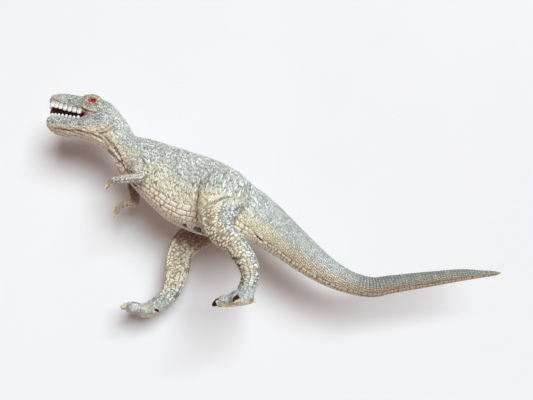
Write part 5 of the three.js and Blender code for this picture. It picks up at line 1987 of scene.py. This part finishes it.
@dataclass
class Arm:
    """An arm casting: shoulder disc, upper arm, forearm and two clawed fingers."""

    name: str
    side: int
    seat: Seat
    hide: Hide
    bones: tuple[tuple[float, float, float], ...]  # length, pitch and splay in degrees
    stain_and_shade: float  # brown paint over the inner side of the upper arm, partly painted shade from the body
    voxel: float = 0.3
    thickness: float = 7.2
    line_out: float = 3.2  # from the arm's inner face to its middle line

    def joints(self) -> tuple[list[np.ndarray], np.ndarray]:
        """Shoulder, elbow, wrist and knuckles, and the direction of the hand."""
        out = self.seat.face + SEAM_GAP + self.line_out
        places = [np.array([self.seat.x, self.side * out, self.seat.z])]
        way = np.zeros(3)
        for length, pitch_deg, splay_deg in self.bones:
            pitch, splay = math.radians(pitch_deg), math.radians(splay_deg)
            way = np.array(
                [
                    -math.sin(pitch) * math.cos(splay),
                    self.side * math.sin(splay),
                    -math.cos(pitch) * math.cos(splay),
                ]
            )
            places.append(places[-1] + way * length)
        return places, way

    def shoulder(self) -> Skin:
        """The round end of the arm, which turns in the body's seat."""
        radius = np.array([5.45, 5.45, 5.35, 5.0, 4.5, 3.8, 2.8, 1.6, 0.4])
        out = np.array([0, 0.9, 2.2, 3.4, 4.5, 5.4, 6.0, 6.3, 6.4])
        face = self.seat.face + SEAM_GAP
        return turned(self.seat.x, self.seat.z, radius, self.side * (face + out), 48)

    def build(self) -> list[bpy.types.Object]:
        """Shapes, paints and places the arm and its claws."""
        (top, elbow, wrist, knuckles), hand = self.joints()
        places = [
            (top, 1.0),
            (top + 0.55 * (elbow - top), 1.0),
            (elbow, 0.76),
            (elbow + 0.4 * (wrist - elbow), 0.72),
            (wrist, 0.58),
            (knuckles, 0.56),
        ]
        table = np.array([[*place, girth * self.thickness / 2] for place, girth in places])
        rows = limb_table(table, 8)
        pitch = math.asin(hand[2])
        root = tuple(knuckles - hand * FINGER.thickness / 2)
        fingers = [Toe(root, math.radians(turn), pitch, FINGER) for turn in (-20, 20)]
        skin = fused(
            [
                self.shoulder(),
                tube(rows[:, :3], rows[:, 3], rows[:, 3], 48),
                *(finger.flesh() for finger in fingers),
            ],
            self.voxel,
        )
        face = self.seat.face + SEAM_GAP
        outer = smooth(face + 0.8, face + 2.4, np.abs(skin.points[:, 1]))
        skin.relax(22, outer * smooth(9.5, 6, np.linalg.norm(skin.points - top, axis=1)))
        skin.relax(4, 0.7 * outer)
        self.dress(skin, rows[:, :3], outer)
        past = smooth(4.8, 5.5, self.seat.away(skin.points))
        past *= smooth(0.5, 2.5, self.seat.z - skin.points[:, 2])
        reach = face + ARM_ROOM * past
        skin.points[:, 1] = self.side * np.maximum(np.abs(skin.points[:, 1]), reach)
        claws, claw_paint = f"{self.name}_finger_claws", ClawPaint(f"{self.name}_finger_paint")
        return placed_limb(
            f"arm_{self.name}", f"{self.name}_arm", skin, claws, fingers, claw_paint
        )

    def dress(self, skin: Skin, middles: Points, outer: np.ndarray) -> None:
        """Shapes the arm's relief and lays its paint masks.

        Args:
            skin: The joined arm.
            middles: The arm's middle line.
            outer: 0 on the face that turns in the body, and 1 on the rest.
        """
        LINE.measure(skin)
        places = skin.points
        run, ahead, across = along_limb(middles, places)
        from_seat = self.seat.away(places)
        share = smooth(4, 9, from_seat)
        own = pebbles(np.stack([run * 0.95, across * 0.6, ahead * 0.6], -1), 63)
        shared = self.hide.scales(skin.masks["run"], skin.masks["around"])
        top, chance = mix(shared, own, share)
        swell = noise(places / 4.0, 61)
        lines = smooth(0.3, 0.0, np.abs(noise(np.stack([run / 2.2, across / 6], -1), 67)))
        skin.push((0.24 * top + 0.15 * swell - 0.14 * lines) * outer)
        upper_arm, length = self.bones[0][0], sum(bone[0] for bone in self.bones)
        fore = smooth(upper_arm - 2, upper_arm + 3, run)
        beneath = smooth(0.6, 2.0, ahead) * fore
        inside = smooth(1.0, -1.0, across * self.side)
        # the inner side of the upper arm, painted brown and darker, partly standing for the body's
        # shadow on it
        upper = self.stain_and_shade * (1 - fore) * inside
        end = smooth(length - 5, length, run)
        grey = self.hide.spray(skin.masks["run"], skin.masks["rise"] + 0.35)
        grey = np.maximum(grey, 0.6 * share)
        skin.masks = {
            "top": top,
            "chance": unit(chance - 0.1 * upper + 0.3 * fore),
            # dark paint in the arm's lines, under the forearm, over the inner upper arm and on the
            # face in the body, partly a wash and partly painted shade
            "dip": unit(
                0.3 * lines + 0.15 * beneath + upper * (0.85 - 0.5 * top) + 0.3 * (1 - outer)
            ),
            "spray": unit(grey * (1 - 0.85 * beneath) * (1 - 0.75 * self.stain_and_shade * inside)),
            "wash": unit(0.3 * beneath + upper),
            "ink": 0.35 * upper * smooth(0.2, 0.8, noise(places / 1.3, 69) + 0.2),
            "gold": 0.75 * end,
        }


# Studio


@dataclass
class Studio:
    """A pale floor, a pale board close behind, one large soft lamp and the camera."""

    camera_at: tuple[float, float, float] = (0.003902, -0.272472, -0.019159)
    pitch_deg: float = 17.2
    roll_deg: float = -4.743
    lens: float = 36 * 450 / 533  # 450 pixels of the photograph's 533, on 36 mm
    board_back: float = 0.038
    lamp_at: tuple[float, float, float] = (0.53, -1.18, 0.31)
    lamp_size: float = 0.75
    lamp_power: float = 19.2
    lamp_tint: Colour = (0.865, 0.975, 1.0)
    air_tint: Colour = (1.0, 0.62, 0.55)
    air_strength: float = 0.25
    pale: Colour = paint(246, 246, 247)

    def board_material(self, name: str) -> bpy.types.Material:
        """Pale card that is seen, and throws light, from its front only."""
        book = Book(name)
        spot = book.cloud(book.place(), 9.0)
        colour = book.blend(spot.rise(0.3, 0.7) * 0.25, self.pale, paint(240, 241, 245))
        card = book.node(
            "ShaderNodeBsdfDiffuse", {}, {"Color": colour, "Roughness": 1.0}
        )
        clear = book.node("ShaderNodeBsdfTransparent", {}, {})
        behind = book.node("ShaderNodeNewGeometry", {}, {}, "Backfacing")
        book.node_output(book.node("ShaderNodeMixShader", {}, {0: behind, 1: card, 2: clear}))
        return book.material

    def sheet(
        self, name: str, corners: list[tuple[float, float, float]]
    ) -> bpy.types.Object:
        """A flat sheet of card that casts no shadow of its own."""
        mesh = bpy.data.meshes.new(name)
        mesh.from_pydata(corners, [], [(0, 1, 2, 3)])
        mesh.materials.append(self.board_material(name))
        card = bpy.data.objects.new(name, mesh)
        bpy.context.scene.collection.objects.link(card)
        card.visible_shadow = False
        return card

    def lamp(self) -> None:
        """The square soft lamp, above and to the right of the camera."""
        data = bpy.data.lights.new("key_lamp", "AREA")
        data.size, data.energy, data.color = self.lamp_size, self.lamp_power, self.lamp_tint
        lamp = bpy.data.objects.new("key_lamp", data)
        bpy.context.scene.collection.objects.link(lamp)
        lamp.location = self.lamp_at
        aim = Vector((0.0, 0.0, 0.07)) - Vector(self.lamp_at)
        lamp.rotation_euler = aim.to_track_quat("-Z", "Y").to_euler()

    def world(self) -> None:
        """Even warm light from all round, seen by the camera as a pale background."""
        world = bpy.data.worlds.new("studio_air")
        world.use_nodes = True
        tree = world.node_tree
        tree.nodes.clear()
        path = tree.nodes.new("ShaderNodeLightPath")
        air, pale = (tree.nodes.new("ShaderNodeBackground") for _ in range(2))
        air.inputs["Color"].default_value = (*self.air_tint, 1)
        air.inputs["Strength"].default_value = self.air_strength
        pale.inputs["Color"].default_value = (*self.pale, 1)
        pale.inputs["Strength"].default_value = 1.0
        mix = tree.nodes.new("ShaderNodeMixShader")
        out = tree.nodes.new("ShaderNodeOutputWorld")
        tree.links.new(path.outputs["Is Camera Ray"], mix.inputs[0])
        tree.links.new(air.outputs[0], mix.inputs[1])
        tree.links.new(pale.outputs[0], mix.inputs[2])
        tree.links.new(mix.outputs[0], out.inputs["Surface"])
        bpy.context.scene.world = world

    def camera(self) -> None:
        """The photograph's camera: low, looking up a little, and slightly rolled."""
        pitch, roll = math.radians(self.pitch_deg), math.radians(self.roll_deg)
        right, upper = Vector((1, 0, 0)), Vector((0, -math.sin(pitch), math.cos(pitch)))
        ahead = Vector((0, math.cos(pitch), math.sin(pitch)))
        x_axis = right * math.cos(roll) + upper * math.sin(roll)
        y_axis = upper * math.cos(roll) - right * math.sin(roll)
        data = bpy.data.cameras.new("camera")
        data.sensor_width, data.lens, data.clip_start = 36, self.lens, 0.01
        camera = bpy.data.objects.new("camera", data)
        bpy.context.scene.collection.objects.link(camera)
        turn = Matrix((x_axis, y_axis, -ahead)).transposed().to_4x4()
        camera.matrix_world = Matrix.Translation(self.camera_at) @ turn
        bpy.context.scene.camera = camera

    def build(self) -> None:
        """Sets up the whole studio."""
        self.camera()
        far, back = 2.5, self.board_back
        floor = self.sheet(
            "floor", [(-far, -far, 0), (far, -far, 0), (far, far, 0), (-far, far, 0)]
        )
        floor.visible_diffuse = floor.visible_glossy = False
        self.sheet(
            "board", [(-far, back, -far), (far, back, -far), (far, back, far), (-far, back, far)]
        )
        self.lamp()
        self.world()
        bpy.context.scene.view_settings.view_transform = "Standard"


LEFT_ARM_BONES = ((14.9, -28, 27), (17.2, 85, 4), (2.9, 50, -34))
RIGHT_ARM_BONES = ((19.4, -5, 11), (10.6, 81, 4), (5.0, 33, -10))


def main() -> None:
    """Builds the studio and the figure's castings in order."""
    logging.basicConfig(level=logging.INFO, format="%(name)s: %(message)s")
    Studio().build()
    hide = Hide()
    Torso(hide).build()
    Tail(hide).build()
    Head(hide).build()
    Arm("left", -1, LEFT_SHOULDER, hide, LEFT_ARM_BONES, stain_and_shade=0.0).build()
    Arm("right", 1, RIGHT_SHOULDER, hide, RIGHT_ARM_BONES, stain_and_shade=1.0).build()
    Leg(
        "left",
        -1,
        LEFT_LEG,
        hide,
        toes=(
            (-20, 0, -0.9, TOE, ClawInk.TIPPED),
            (0, 0.4, 0, TOE, ClawInk.TIPPED),
            (52, -0.4, 0.7, SIDE_TOE, ClawInk.TOPPED),
            (-142, 0, -0.6, REAR_TOE, ClawInk.PLAIN),
        ),
        toe_pitch=0,
        toe_rise=0,
        ball_ahead=1.6,
        ball_drop=1.2,
        step_deg=0,
        grey=(0.2, 0.85, 0.85),
        stain_and_shade=0.2,
        spots=((5.3, -41.8), (6.0, -45.4)),
    ).build()
    Leg(
        "right",
        1,
        RIGHT_LEG,
        hide,
        toes=(
            (-20, 0, -0.9, LONG_TOE, ClawInk.PLAIN),
            (0, 0.4, 0, LONG_TOE, ClawInk.PLAIN),
            (22, 0, 0.9, LONG_TOE, ClawInk.PLAIN),
            (-142, 0, -0.6, REAR_TOE, ClawInk.TOPPED),
        ),
        toe_pitch=16,
        toe_rise=0.8,
        ball_ahead=3,
        ball_drop=0.9,
        step_deg=-42,
        grey=(0.1, 0.2, 0.8),
        stain_and_shade=1.0,
    ).build()


if __name__ == "__main__":
    main()
